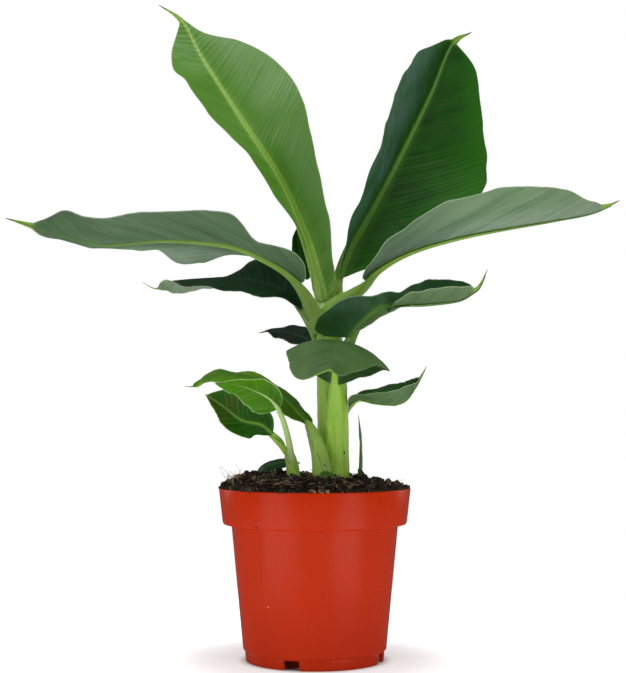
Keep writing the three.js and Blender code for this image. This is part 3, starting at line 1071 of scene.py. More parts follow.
        skin = np.stack([turn, rise, distance * CM], axis=1)
        lip = np.exp(-(((np.abs(turn) - 0.72) / 0.2) ** 2)) * (rise > 0) * (1 - sunk) * max(form.groove, 0.0)
        zone = np.stack([t, lip, before], axis=1)
        return places, {"skin": skin, "zone": zone}

    def build(self) -> None:
        """Builds and dresses the blade and, where there is one, the petiole with its midrib."""
        form, name = self.form, self.form.name
        faces = [
            self.upper.material(f"{name}_upper", form.slant, form.pitch, form.tail, self.seed),
            self.under.material(f"{name}_under", form.slant, form.pitch, form.tail, self.seed + 20),
        ]
        nodes = [name] if self.in_frame else []
        sheet = flat_sheet(*form.steps)
        settle(f"{name}_blade", sheet, faces, nodes, self.lay_blade, BLADE_CREASE)
        if form.stalk:
            bar = round_bar(*self.stalk_mesh)
            stalk = self.green.stalk(f"{name}_stalk", self.seed)
            settle(f"{name}_stalk", bar, [stalk], [f"{name}_petiole"], self.lay_stalk)


# ---- stems ----
@dataclass(frozen=True)
class Sheath:
    """A leaf sheath rolled round a stem, which shows as a low step.

    Attributes:
        azimuth: Direction that its middle faces, counted from +X towards +Y.
        top: Height of its mouth.
        top_half: Half the angle that it covers at its mouth.
        foot_half: Half the angle that it covers at the soil.
        thick: Height of the step.
    """

    azimuth: float
    top: float
    top_half: float
    foot_half: float
    thick: float = 0.5


@dataclass
class Stem:
    """A stem of rolled leaf sheaths.

    Attributes:
        node: Name of its CAD node.
        line: Its centre line, from inside the compost to its top.
        radius: Radii along it.
        sheaths: The leaf sheaths round it, from the inside out.
        finish: Its finish.
        spots: Share of the cells that carry a small dark spot.
        facets: Faces round it.
        rings: Faces along it.
        foot: Height of the soil round it.
    """

    node: str
    line: tuple[tuple[float, float, float], ...]
    radius: Run
    sheaths: tuple[Sheath, ...]
    finish: StalkFinish = field(default_factory=StalkFinish)
    spots: float = 0.05
    facets: int = 120
    rings: int = 150
    foot: float = 110.0

    def lay(self, flat: Array) -> tuple[Array, dict[str, Array]]:
        """Lays a unit cylinder along the stem and raises the sheaths on it.

        Args:
            flat: Vertices of the cylinder.

        Returns:
            The vertices in millimetres, and their attributes.
        """
        spine = Spine(self.line)
        share = flat[:, 2] + 0.5
        centre, _, normal, side = spine.frames(share, towards=BACK)
        outward = across_vectors(flat[:, 0], side) + across_vectors(flat[:, 1], normal)
        facing = np.degrees(np.arctan2(outward[:, 1], outward[:, 0]))
        level = centre[:, 2]
        radius = along(self.radius, share)
        girth = radius.copy()
        edge = np.full(len(flat), 9.0)
        layer = np.zeros(len(flat))
        for sheath in self.sheaths:
            climb = np.clip((level - self.foot) / (sheath.top - self.foot), 0, 1)
            half = sheath.foot_half + (sheath.top_half - sheath.foot_half) * climb**0.8
            half += 2.0 * waver(level / 14, int(sheath.top), 2)
            off = np.abs((facing - sheath.azimuth + 180) % 360 - 180)
            inside = (half - off) * np.pi / 180 * radius
            below = ease(sheath.top - level, 0, 2.5)
            cover = ease(inside, -0.35, 0.35) * below
            girth += sheath.thick * cover
            edge = np.where(cover > 0.5, np.abs(inside), np.minimum(edge, np.abs(inside) + 3 * (1 - below)))
            layer = np.where(cover > 0.5, layer * 0.4 + 0.6, layer)
        girth += 0.12 * waver(facing / 24, 4, 2) + 0.1 * waver(level / 8 + facing / 90, 6, 2)
        girth *= np.sqrt(1 - 0.9 * ease(share, 0.93, 1.0))
        places = centre + across_vectors(girth, outward)
        skin = np.stack([flat[:, 0] * radius, flat[:, 1] * radius, share * spine.length], axis=1) * CM
        height = (level - self.foot) / 60
        return places, {"skin": skin, "sheath": np.stack([edge * CM, layer, height], axis=1)}

    def build(self) -> None:
        """Builds and dresses the stem."""
        bar = round_bar(self.facets, self.rings)
        material = self.finish.stem(self.node, self.spots)
        settle(f"{self.node}_sheathed", bar, [material], [self.node], self.lay)


# ---- pot and soil ----
@dataclass
class Pot:
    """A thin moulded nursery pot with a deep rim band and a slotted foot ring.

    Attributes:
        height: Height of the pot.
        rim_radius: Outer radius at the top of the rim band.
        rim_foot_radius: Outer radius at the foot of the rim band.
        rim_foot_height: Height of the foot of the rim band.
        wall: Thickness of the wall.
        body_top: Outer radius of the body under the rim band.
        body_foot: Outer radius of the body above the skirt.
        skirt_height: Height of the foot ring.
        skirt_radius: Outer radius of the foot ring.
        skirt_wall: Thickness of the foot ring.
        plate_radius: Radius of the flat middle of the underside.
        channel: Depth of the channel round that middle.
        floor: Thickness of the floor.
        notches: Number of drainage slots in the foot ring.
        first_notch: Direction of the first slot in degrees.
        notch_width: Width of a slot.
        steps: Faces round the pot.
        soft_edge: Width of the rounding on its corners.
    """

    height: float = 107.0
    rim_radius: float = 59.9
    rim_foot_radius: float = 57.6
    rim_foot_height: float = 85.0
    wall: float = 1.5
    body_top: float = 52.1
    body_foot: float = 44.7
    skirt_height: float = 7.0
    skirt_radius: float = 43.5
    skirt_wall: float = 2.6
    plate_radius: float = 30.0
    channel: float = 6.0
    floor: float = 2.0
    notches: int = 4
    first_notch: float = -109.0
    notch_width: float = 10.0
    steps: int = 160
    soft_edge: float = 0.28

    def body_radius(self, height: float) -> float:
        """Outer radius of the wall between the skirt and the rim.

        Args:
            height: Height above the ground.

        Returns:
            The radius there.
        """
        climb = (height - self.skirt_height) / (self.rim_foot_height - self.skirt_height)
        return self.body_foot + (self.body_top - self.body_foot) * climb

    def outline(self) -> list[tuple[float, float]]:
        """Closed outline of the pot's wall and floor, above the foot ring's slots.

        Returns:
            Radius and height of each corner.
        """
        shelf = self.channel + self.floor
        inner = self.rim_radius - self.wall
        return [
            (0.0, 0.0),
            (self.plate_radius, 0.0),
            (self.plate_radius + 1.5, self.channel),
            (self.skirt_radius - self.skirt_wall, self.channel),
            (self.skirt_radius - 0.1, self.channel),
            (self.skirt_radius, self.skirt_height),
            (self.body_radius(self.skirt_height) - 0.1, self.skirt_height + 0.3),
            (self.body_radius(self.skirt_height), self.skirt_height + 1.2),
            (self.body_radius(self.rim_foot_height) - 0.05, self.rim_foot_height - 1),
            (self.rim_foot_radius - 0.6, self.rim_foot_height - 0.4),
            (self.rim_foot_radius, self.rim_foot_height + 0.9),
            (self.rim_radius - 0.05, self.height - 1.2),
            (self.rim_radius, self.height - 0.5),
            (self.rim_radius - 0.5, self.height),
            (inner + 0.3, self.height),
            (inner, self.height - 0.5),
            (self.rim_foot_radius - self.wall, self.rim_foot_height + 2),
            (self.body_radius(self.rim_foot_height) - self.wall, self.rim_foot_height - 1),
            (self.body_radius(shelf) - self.wall, shelf),
            (self.plate_radius + 1, shelf),
            (self.plate_radius - 0.4, self.floor),
            (0.0, self.floor),
        ]

    def foot_arc(self, start: float, turn: float) -> bmesh.types.BMesh:
        """One stretch of the foot ring between two slots.

        Args:
            start: Direction of its first end in degrees.
            turn: How far it runs in degrees.

        Returns:
            The mesh in millimetres.
        """
        outer, top = self.skirt_radius, self.channel + 0.6
        inner = outer - self.skirt_wall
        section = [(inner, 0.0), (outer - 0.6, 0.0), (outer - 0.02, top), (inner, top)]
        arc = turned(section, int(self.steps * turn / 360), turn)
        spin = Matrix.Rotation(math.radians(start), 3, "Z")
        bmesh.ops.rotate(arc, verts=arc.verts, cent=(0, 0, 0), matrix=spin)
        return arc

    def build(self) -> None:
        """Builds and dresses the pot."""
        bm = turned(self.outline(), self.steps)
        gap = math.degrees(self.notch_width / self.skirt_radius)
        pitch = 360 / self.notches
        for i in range(self.notches):
            arc = self.foot_arc(self.first_notch + i * pitch + gap / 2, pitch - gap)
            part = bpy.data.meshes.new("arc")
            arc.to_mesh(part)
            arc.free()
            bm.from_mesh(part)
            bpy.data.meshes.remove(part)
        corners = [
            edge for edge in bm.edges
            if len(edge.link_faces) == 2 and 0.6 < edge.calc_face_angle(0) and edge.calc_length() > 0.3
        ]
        bmesh.ops.bevel(
            bm,
            geom=corners,
            offset=self.soft_edge,
            offset_type="OFFSET",
            affect="EDGES",
            segments=2,
            profile=0.5,
            material=-1,
        )
        plastic = PotFinish().material()
        settle("pot_moulded", bm, [plastic], ["pot"], lambda flat: (flat, {}), POT_CREASE)


@dataclass
class Compost:
    """A heap of dark crumbly compost with straw-coloured fibres, which fills the pot.

    Attributes:
        pot: The pot that it fills.
        rim_drop: How far its edge lies below the rim.
        heap: Rise of the heap in the middle.
        left_heap: Further rise at the left.
        right_dip: How far it sinks at the right.
        lump: Height of its lumps.
        clear: Gap between the compost and the wall.
        low: Height of its flat underside, which nobody sees.
        patch: Radius of the patch where fibres lie.
        tuft: Distance of the standing fibres from the middle.
        seed: Picks the crumbs and fibres.
    """

    pot: Pot
    rim_drop: float = 2.5
    heap: float = 8.0
    left_heap: float = 4.0
    right_dip: float = 2.4
    lump: float = 1.3
    clear: float = 0.3
    low: float = 70.0
    patch: float = 52.0
    tuft: float = 54.0
    seed: int = 11

    def level(self, x: Array, y: Array) -> Array:
        """Height of the heap at each place.

        Args:
            x: Distances to the right.
            y: Distances to the back.

        Returns:
            Heights above the ground.
        """
        out = np.hypot(x, y) / self.pot.rim_radius
        left = self.left_heap * np.maximum(0, -x / self.pot.rim_radius) * (1 - out**8)
        lumps = np.sin(x * 0.31 + 1) * np.cos(y * 0.27) + 0.6 * np.sin(x * 0.11 - y * 0.53)
        rise = self.heap * (1 - out**5) + left + self.lump * lumps * (1 - out**6)
        rise -= self.right_dip * ease(x / self.pot.rim_radius, 0.1, 0.6) * (1 - out**8)
        return self.pot.height - self.rim_drop + rise

    def shape_bed(self, flat: Array) -> tuple[Array, dict[str, Array]]:
        """Gives the top of the bed its lumps.

        Args:
            flat: Vertices of the turned bed.

        Returns:
            The moved vertices and their attributes.
        """
        places = flat.copy()
        top = flat[:, 2] > self.pot.height - 1
        x, y = flat[top, 0], flat[top, 1]
        rough = 0.7 * waver(x / 4 + 0.4 * waver(y / 5, 3, 2), 21, 3) * waver(y / 4.5, 22, 3)
        places[top, 2] = self.level(x, y) - 0.6 + rough
        chance = 0.5 + 0.5 * waver(flat[:, 0] / 6 + flat[:, 1] / 9, 8, 3)
        return places, {"crumb": np.stack([np.clip(chance, 0, 1) * 0.5, chance * 0, chance * 0], axis=1)}

    def bed(self) -> None:
        """Builds the body of the compost."""
        pot, inset, rings = self.pot, self.pot.wall + self.clear, 48
        edge = pot.rim_radius - inset - 0.3
        outline = [
            (0.0, self.low),
            (pot.body_radius(self.low) - inset, self.low),
            (pot.body_radius(pot.rim_foot_height) - inset, pot.rim_foot_height - 0.7),
            (pot.rim_foot_radius - inset, pot.rim_foot_height + 2.3),
            *((edge * (1 - i / rings), pot.height) for i in range(rings + 1)),
        ]
        finish = BED_FINISH.material("compost_bed")
        bed = turned(outline, 150)
        settle("compost_bed", bed, [finish], ["soil"], self.shape_bed, NO_CREASE)

    def spots(self, draw: np.random.Generator, count: int, reach: float) -> tuple[Array, Array]:
        """Draws places in a round patch of the heap.

        Args:
            draw: The random numbers.
            count: How many places.
            reach: Radius of the patch.

        Returns:
            Their x and y.
        """
        out, turn = reach * np.sqrt(draw.random(count)), draw.uniform(0, 2 * np.pi, count)
        return out * np.cos(turn), out * np.sin(turn)

    def crumbs(self, name: str, count: int, sizes: tuple[float, float], fineness: int) -> None:
        """Strews crumbs over the bed.

        Args:
            name: The piece's name.
            count: How many crumbs.
            sizes: Smallest and largest radius.
            fineness: Subdivisions of each crumb.
        """
        seed = bmesh.new()
        bmesh.ops.create_icosphere(seed, subdivisions=fineness, radius=1)

        def strew(flat: Array) -> tuple[Array, dict[str, Array]]:
            """Gives each crumb its own size, shape and place.

            Args:
                flat: Vertices of the copies of one crumb.

            Returns:
                The vertices in millimetres, and their attributes.
            """
            draw = np.random.default_rng(self.seed + count)
            copies = flat.reshape(count, -1, 3)
            each = copies.shape[1]
            size = sizes[0] + (sizes[1] - sizes[0]) * draw.random(count) ** 2
            x, y = self.spots(draw, count, self.pot.rim_radius - 0.9)
            z = self.level(x, y) + 0.2 + size * draw.uniform(-0.3, 0.8, count)
            on_rim = np.hypot(x, y) > self.pot.rim_radius - self.pot.wall - size
            z = np.where(on_rim, np.maximum(z, self.pot.height + 0.1 + size * 0.4), z)
            lumps = draw.uniform(0.5, 1.35, (count, each, 1)) * draw.uniform(0.5, 1.25, (count, 1, 3))
            turned_copies = np.einsum("nij,nvj->nvi", turns(draw, count), copies * lumps)
            places = turned_copies * size[:, None, None] + np.stack([x, y, z], axis=1)[:, None, :]
            marks = np.repeat(draw.random((count, 3)), each, axis=0)
            return places.reshape(-1, 3), {"crumb": marks}

        finish = CRUMB_FINISH.material(name)
        settle(name, multiplied(seed, count), [finish], (), strew, NO_CREASE)

    def fibres(self, name: str, count: int, upright: bool) -> None:
        """Strews bent fibres over the bed.

        Args:
            name: The piece's name.
            count: How many fibres.
            upright: Whether they stand up at the left of the rim instead of lying.
        """

        def strew(flat: Array) -> tuple[Array, dict[str, Array]]:
            """Gives each fibre its own length, bends and place.

            Args:
                flat: Vertices of the copies of one straight fibre.

            Returns:
                The vertices in millimetres, and their attributes.
            """
            draw = np.random.default_rng(self.seed + count)
            copies = flat.reshape(count, -1, 3)
            each = copies.shape[1]

            def one(low: float, high: float) -> Array:
                """Draws one value for each fibre."""
                return draw.uniform(low, high, (count, 1))

            length, thick = one(6, 20), one(0.12, 0.22) if upright else one(0.1, 0.3)
            s = copies[:, :, 2]
            taper = thick * (0.75 - 0.5 * s)
            bow, sway = one(-1.5, 1.5), one(-0.8, 0.8)
            bent = np.stack(
                [
                    copies[:, :, 0] * taper + bow * (4 * s * s - 1),
                    copies[:, :, 1] * taper + sway * np.sin(6 * s + one(0, 6.28)),
                    s * length,
                ],
                axis=2,
            )
            tilt = np.radians(one(20, 45) if upright else one(76, 96))[:, 0]
            spin = draw.uniform(0, 2 * np.pi, count)
            aim = [Matrix.Rotation(a, 3, "Z") @ Matrix.Rotation(b, 3, "Y") for a, b in zip(spin, tilt)]
            laid = np.einsum("nij,nvj->nvi", np.array(aim), bent)
            x, y = self.spots(draw, count, self.patch)
            if upright:
                turn = np.radians(draw.uniform(150, 215, count))
                x, y = self.tuft * np.cos(turn), self.tuft * np.sin(turn)
            z = self.level(x, y) + (2.5 if upright else draw.uniform(0.5, 1.8, count))
            places = laid + np.stack([x, y, z], axis=1)[:, None, :]
            return places.reshape(-1, 3), {"crumb": np.repeat(draw.random((count, 3)), each, axis=0)}

        finish = FIBRE_FINISH.material(name)
        settle(name, multiplied(round_bar(4, 7), count), [finish], (), strew, NO_CREASE)

    def build(self) -> None:
        """Builds the bed, its crumbs and its fibres."""
        self.bed()
        self.crumbs("compost_clods", 1300, (0.8, 2.4), 2)
        self.crumbs("compost_crumbs", 7500, (0.3, 0.95), 1)
        self.fibres("compost_fibres", 250, upright=False)
        self.fibres("compost_standing_fibres", 16, upright=True)


# ---- the plant's sizes and colours ----
BRIGHT = StalkFinish("B4E050", "8CC43A", "CBE29C", "86B04A")
MIDDLE = StalkFinish("A0CC4C", "78AA36", "B9D38C", "5F8A3C")
DULL = StalkFinish("94BC54", "6C9640", "B5C796", "6F8F52")
FOLD_FINISH = FaceFinish("4E6E3E", "688850", "688850", "B7CBA2", gloss=0.5)
HUSK_FINISH = FaceFinish(
    "4A6E28", "6A8E3C", "5F8434", "33260F", gloss=0.5, shine=0.2, patch="2A2010", patchy=0.6
)


def leaves() -> list[Leaf]:
    """Lists the plant's leaves, from the top down.

    Returns:
        The leaves, with their shapes and finishes.
    """
    return [
        Leaf(
            LeafForm(
                "upright_left_leaf",
                spine=(
                    (7, 0, 210), (3, 5, 233), (-6, 14, 266), (-21, 26, 302), (-47, 40, 344), (-74, 52, 388),
                    (-89, 58, 416), (-105, 60, 428),
                ),
                stalk=(5.4, 4.8, 4.4), blade_from=0.055, tail=0.08, widest=0.66, base=(0.6, 0.45),
                tip=(0.78,),
                half_left=(30, 12, 16, 28, 35, 34, 33, 36, 37, 34, 30),
                half_right=(40, 29, 34, 38, 40, 42, 43, 43, 42, 18, 20),
                roll=(-45, -71, -80, -82), fold_left=(20, 62, 75, 73, 72, 67, 62, 60, 40, 13, 0),
                fold_right=(39, 35, -10, -30),
                curl_left=(13,), curl_right=(-8,), ripple=(0.2, 5),
                rib=(4.9, 1.05), hook=2.4, ragged=0.05, flare=0.9, slant=0.42, groove=-0.9, steps=(170, 60),
            ),
            Slot.LIGHT_LEAF,
            # Its pale right half is a painted sheen of the lamps.
            upper=FaceFinish(
                "5A962C", "6EAA3C", "B2DA6C", "A9CF7A", gloss=0.34, shine=0.4, veined=0.07, tint_and_painted_sheen="8FB47C",
                tint_and_sheen_strength=0.42,
            ),
            under=FaceFinish("5F8A48", "789E60", "9CC068", "B7D490", gloss=0.5),
            # Its petiole and midrib are coloured lighter than the other stalks: a painted highlight where the
            # glossy rib catches the light.
            green=StalkFinish("D6F088", "B4DC5C", "DDECB4", "A6CE62"), seed=3,
        ),
        Leaf(
            LeafForm(
                "upright_right_leaf",
                spine=(
                    (12, 4, 217), (15, 9, 238), (22, 18, 258), (32, 26, 276), (54, 42, 318), (77, 54, 365),
                    (92, 60, 400), (106, 62, 410),
                ),
                stalk=(4.4, 3.9, 3.4), blade_from=0.1, tail=0.07, widest=0.5, base=(0.3, 0.62),
                tip=(0.7, 0.46),
                half_left=(36, 27, 28, 41, 42, 37, 39, 44, 48, 38, 52),
                half_right=(36, 48, 52, 56, 59, 60, 57, 50, 45, 48, 48),
                roll=(55, 70, 70, 74), fold_left=(72, 64, 55, 37), fold_right=(15, 19, -10, -18),
                curl_left=(-8,), curl_right=(4,), sweep=(6,), ripple=(0.5, 6),
                rib=(3.2, 0.85), hook=3.0, ragged=0.2, flare=0.8, slant=0.62, steps=(160, 60),
            ),
            Slot.DARK_LEAF,
            # Its pale bluish left half is a painted reflection of the lamps.
            upper=FaceFinish(
                "08260E", "2E7410", "75A94C", "5F8A4C", gloss=0.4, shine=0.12, outer=0.95, veined=0.045,
                ridged=0.7, spread=0.8, tint_and_painted_sheen="688E80", tint_and_sheen_strength=0.7, tint_and_sheen_side=-1.0,
            ),
            under=FaceFinish("4A6C46", "64865A", "86AC5A", "A5BF90", gloss=0.5),
            green=StalkFinish("A0CC4C", "78AA36", "B9D38C", "7FAE52"), seed=5,
        ),
        Leaf(
            LeafForm(
                "right_arching_leaf",
                spine=(
                    (12, -4, 211), (13, -8, 222), (27, -16, 230), (39, -26, 242), (60, -38, 252),
                    (93, -48, 260), (141, -52, 268), (163, -52, 272), (175, -52, 276.5), (182, -51, 280.5),
                ),
                stalk=(5, 4.8, 4.4), blade_from=0.185, tail=0.07, widest=0.52, base=(0.8, 0.3), tip=(0.55,),
                half_left=(10, 16, 22, 28, 30, 30, 30, 30, 28, 22, 20),
                half_right=(12, 16, 22, 26, 29, 28, 28, 28, 27, 20, 20),
                roll=(10, -6, -12), fold_left=(50, 50, 45, 45), fold_right=(15, 30, 45, 55),
                curl_left=(-10,), curl_right=(15,), sweep=(3,), ripple=(1.2, 5),
                rib=(2.2, 1.0), hook=3.8, ragged=0.25, flare=0.9, slant=2.6, steps=(150, 52),
            ),
            Slot.PALE_LEAF,
            upper=FaceFinish("183A1C", "245028", "6F9A48", "A5BF90", gloss=0.4, shine=0.2),
            under=FaceFinish(
                "5E855A", "90AE84", "76A04A", "B4CAA0", gloss=0.5, halo=0.0, shine=0.28, veined=0.1,
                tint_and_painted_sheen="A4B4A6", tint_and_sheen_strength=0.45, tint_and_sheen_side=0.0, painted_base_shade=0.55, painted_base_shade_tone="3A5642",
            ),
            green=MIDDLE, seed=8,
        ),
        Leaf(
            LeafForm(
                "left_arching_leaf",
                spine=(
                    (5, -2, 206), (-2, -7, 220), (-13, -14, 237), (-31, -22, 248), (-55, -30, 256),
                    (-92, -36, 258), (-128, -38, 255), (-149, -36, 260), (-170, -34, 266.5),
                    (-188, -34, 272),
                ),
                stalk=(4.8, 4.4, 3.8), blade_from=0.15, tail=0.09, widest=0.34, base=(0.4, 0.5),
                tip=(0.65,),
                half_left=(20, 31, 15, 36, 33, 32, 33, 37, 42, 27, 20),
                half_right=(2, 2, 12, 40, 42, 25, 20, 18, 18, 26, 24),
                roll=(10, 32, 34, 60), fold_left=(-5, -15, -10, 15), fold_right=(25, 18, 30, 10),
                curl_left=(20,), sweep=(-20, 5, 5, 5, 5, 5), ripple=(0.6, 6),
                rib=(2.2, 1.2), hook=2.6, ragged=0.25, flare=0.9, slant=1.5, steps=(160, 54),
            ),
            Slot.PALE_LEAF,
            upper=FaceFinish("15301A", "224628", "6F9A48", "A5BF90", gloss=0.4, shine=0.2),
            under=FaceFinish(
                "446442", "66845F", "6F9448", "A9BEA0", gloss=0.44, shine=0.32, veined=0.06, tint_and_painted_sheen="A0B89E",
                tint_and_sheen_strength=0.55,
            ),
            green=StalkFinish("94BC4C", "6C9636", "A9C47C", "5C8440"), seed=12,
        ),
        Leaf(
            LeafForm(
                "lower_left_leaf",
                spine=(
                    (5, 4, 196), (-2, 12, 209), (-10, 20, 222), (-20, 28, 232), (-34, 36, 238),
                    (-57, 44, 242), (-77, 50, 242), (-99, 54, 240), (-106, 55, 236), (-115, 56, 240),
                ),
                stalk=(3.6, 3.3, 3), blade_from=0.2, tail=0.09, widest=0.45, base=(0.6,), tip=(0.55,),
                half_left=(18, 18, 19, 18, 19, 25, 27, 27, 27, 27, 27), half_right=(22, 22, 24, 27, 31, 31),
                roll=(-30, 0, 15), fold_left=(20, -28, -25, -25), fold_right=(72, 48, -5, -20),
                curl_left=(10,), curl_right=(-10,), ripple=(1.2, 4),
                rib=(1.3, 1.0), hook=1.5, slant=0.6, steps=(120, 44),
            ),
            Slot.DARK_LEAF,
            upper=FaceFinish("0A2A10", "16441E", "24442A", "90A98A", gloss=0.38, shine=0.15, veined=0.04),
            under=FaceFinish("74906E", "8CA484", "8FB06A", "B7C9AE", gloss=0.5),
            green=DULL, seed=15,
        ),
        Leaf(
            LeafForm(
                "twisted_right_leaf",
                spine=(
                    (18, -7, 185), (21, -15, 196), (28, -25, 208), (39, -34, 217), (52, -38, 219),
                    (67, -41, 219), (86, -42, 221), (95, -42, 225.5), (99.5, -42, 229.5), (104, -42, 240),
                ),
                stalk=(3.8, 3.6, 3.2), blade_from=0.15, tail=0.16, widest=0.2, base=(0.2, 0.3), tip=(0.4,),
                half_left=(28, 30, 32, 11, 8, 18, 25, 30, 30, 28, 28),
                half_right=(2, 2, 2, 2, 9, 11, 14, 16, 18, 18, 18),
                roll=(150, 150, 148, 105, 40, -5, -22, -25, -25, -20, -20),
                fold_left=(10, 15, 22, 30, 50, 65, 75, 75, 70, 60, 60),
                fold_right=(-80, -70, -60, -10, 55, 45, 35, 30, 20, 20, 20),
                sweep=(-14, -16, -12, -5, 0, 0, 0, 8, 20, 30, 35), ripple=(0.6, 4),
                rib=(2.4, 1.2), hook=4.6, quilt=0.15, sink=(-6, 5, -14), slant=0.9, steps=(150, 44),
            ),
            Slot.DARK_LEAF,
            upper=FaceFinish(
                "285430", "38683A", "5F8C3C", "86A878", gloss=0.36, shine=0.28, veined=0.02, ridged=0.4,
            ),
            under=FaceFinish(
                "506E46", "6A8A56", "64884E", "A9BF94", gloss=0.46, veined=0.05, tint_and_painted_sheen="9CB090", tint_and_sheen_strength=0.4,
            ),
            green=StalkFinish("8CB446", "66923A", "A9C47C", "486C38"), seed=18,
        ),
        Leaf(
            LeafForm(
                "back_left_leaf",
                spine=(
                    (7, 6, 185), (2, 14, 195), (-5, 24, 201), (-16, 36, 205), (-28, 46, 207),
                    (-38, 53, 206),
                ),
                stalk=(2.8, 2.6, 2.3), blade_from=0.2, tail=0.06, widest=0.45, base=(0.8,), tip=(0.75,),
                half_left=(13,), half_right=(14,),
                roll=(6,), fold_left=(-27, -15), fold_right=(28,),
                ripple=(0.8, 3),
                rib=(1.0, 1.0), hook=0.8, slant=0.6, steps=(70, 32),
            ),
            Slot.DARK_LEAF,
            upper=FaceFinish("0F2618", "1E3C28", "35563A", "90A98A", gloss=0.36, shine=0.15, veined=0.05),
            under=FaceFinish("5C7A5C", "76926E", "8FB06A", "B7C9AE", gloss=0.5),
            green=DULL, seed=21,
        ),
        Leaf(
            LeafForm(
                "front_leaf",
                spine=(
                    (12.5, -11, 158), (12.5, -15, 170), (12.5, -26, 186), (12, -42, 196), (11, -60, 196),
                    (10, -74, 190), (9, -85, 182), (8.5, -90, 177),
                ),
                stalk=(3, 2.8, 2.6), blade_from=0.13, tail=0.03, widest=0.56, base=(0.7,), tip=(0.34, 0.16),
                half_left=(34, 34, 34, 36, 38, 39, 37, 30, 27, 20, 19),
                half_right=(31, 31, 31, 31, 31, 30, 29, 29, 29, 29, 29),
                roll=(-5, -8, -10), fold_left=(-28, -22, 2, 6, 2, -6), fold_right=(0,),
                curl_left=(-30, -30, -50, -50, -40, -30), curl_right=(-42,), sweep=(0, 0, 0, 0, 4, 28),
                ripple=(0.6, 3),
                rib=(1.5, 1.0), hook=0.6, flare=1.0, sink=(-1, 8.5, -28), slant=0.25, steps=(120, 48),
            ),
            Slot.PALE_LEAF,
            upper=FaceFinish(
                "426630", "5A8042", "4E7038", "6F8C5A", gloss=0.46, halo=0.1, shine=0.24, veined=0.02,
                ridged=0.35, tint_and_painted_sheen="7A9668", tint_and_sheen_strength=0.6,
            ),
            # The under face is painted darker than the upper one: painted shade, as it faces down into the
            # shadow under the blade.
            under=FaceFinish("2C4A22", "3C5E30", "86A85A", "6F8C5C", gloss=0.5, shine=0.15, veined=0.04),
            green=BRIGHT, seed=24,
        ),
        Leaf(
            LeafForm(
                "lower_right_leaf",
                spine=(
                    (16, 2, 150), (22, 0, 158), (28, -3, 162), (37, -7, 160), (45, -10, 159),
                    (51, -12, 159), (57, -14, 162), (62, -15, 169), (65, -15, 174), (69, -15, 182),
                ),
                stalk=(2.4, 2.2, 2), blade_from=0.12, tail=0.13, widest=0.58, base=(0.8,), tip=(0.7, 0.95),
                half_left=(16, 13.5, 13.5, 14.5, 16, 16, 15, 13, 11, 14, 16),
                half_right=(20, 20, 20, 20, 20, 20, 18, 12, 8, 12, 16),
                roll=(4,), fold_left=(40, 50, 56, 60), fold_right=(30, 45),
                curl_right=(-22,), sweep=(0, 0, 0, 0, 0, 5, 23, 50, 38, 20, 10), ripple=(0.15, 2),
                rib=(1.3, 1.0), hook=1.6, ragged=0.1, quilt=0.06, slant=1.2, steps=(120, 40),
            ),
            Slot.PALE_LEAF,
            upper=FaceFinish("1C4A18", "2C6420", "5F8A48", "A5BF90", gloss=0.4, shine=0.2),
            under=FaceFinish("4A6C42", "688A56", "8FAE78", "A9BF98", gloss=0.48, veined=0.1),
            green=MIDDLE, seed=27,
        ),
        Leaf(
            LeafForm(
                "bright_sucker_leaf",
                spine=(
                    (-1, -12, 139), (-4, -10, 148), (-10, -9, 154), (-17, -9, 161), (-28, -11, 170),
                    (-41, -14, 176), (-57, -17, 177), (-69, -19, 174), (-75, -20, 170), (-80, -20, 170),
                ),
                stalk=(4.0, 3.6, 3.1), blade_from=0.07, tail=0.06, widest=0.34, base=(0.5,), tip=(0.5,),
                half_left=(11, 15, 20, 20, 20, 20), half_right=(12, 12, 12, 15, 18, 15, 14, 20, 25, 18, 16),
                roll=(8,), fold_left=(-40, -20), fold_right=(34, 18),
                curl_left=(-8,), curl_right=(-5,), sweep=(8,), ripple=(0.8, 4),
                rib=(1.2, 1.0), hook=1.4, ragged=1.1, flare=0.1, sink=(3, -0.5, -11), slant=0.8,
                steps=(110, 40),
            ),
            Slot.LIGHT_LEAF,
            upper=FaceFinish(
                "368000", "8CCE00", "4E8420", "9CC86A", gloss=0.34, shine=0.2, veined=0.06, painted_base_shade=0.8,
                outer=0.6,
            ),
            under=FaceFinish("4A6C30", "608044", "8FB06A", "A5BF90", gloss=0.5),
            green=StalkFinish("B4E050", "8CC43A", "CBE29C", "4A7A1C"), seed=30,
        ),
        Leaf(
            LeafForm(
                "front_sucker_leaf",
                spine=(
                    (-15, -19, 129), (-16, -23, 137), (-20, -28, 151), (-26, -33, 161), (-36, -37, 167),
                    (-48, -40, 171), (-61, -41, 172),
                ),
                stalk=(1.8, 1.7, 1.6), blade_from=0.4, tail=0.03, widest=0.55, base=(0.5,), tip=(0.45,),
                half_left=(13, 11, 10.5, 9, 8.5, 9), half_right=(24, 18, 13.5, 11, 11, 10),
                roll=(67, 45), fold_left=(10, -40), fold_right=(14,),
                ripple=(0.6, 3),
                rib=(0.35, 2.0), hook=0.8, quilt=0.15, flare=0.2, sink=(1.5, 3, -10), slant=0.7,
                steps=(80, 34),
            ),
            Slot.LIGHT_LEAF,
            upper=FaceFinish("24600C", "387E14", "7FB24C", "9CC86A", gloss=0.38, shine=0.2),
            under=FaceFinish(
                "3A7008", "508C08", "3E6E0A", "B5D690", gloss=0.44, halo=0.0, shine=0.15, veined=0.04,
                tint_and_painted_sheen="68A80C", tint_and_sheen_strength=0.8, tint_and_sheen_side=-1.0,
            ),
            green=StalkFinish("C8E494", "A6CC64", "E0ECC0", "4E7E20"), seed=33,
        ),
        Leaf(
            LeafForm(
                "round_sucker_leaf",
                spine=(
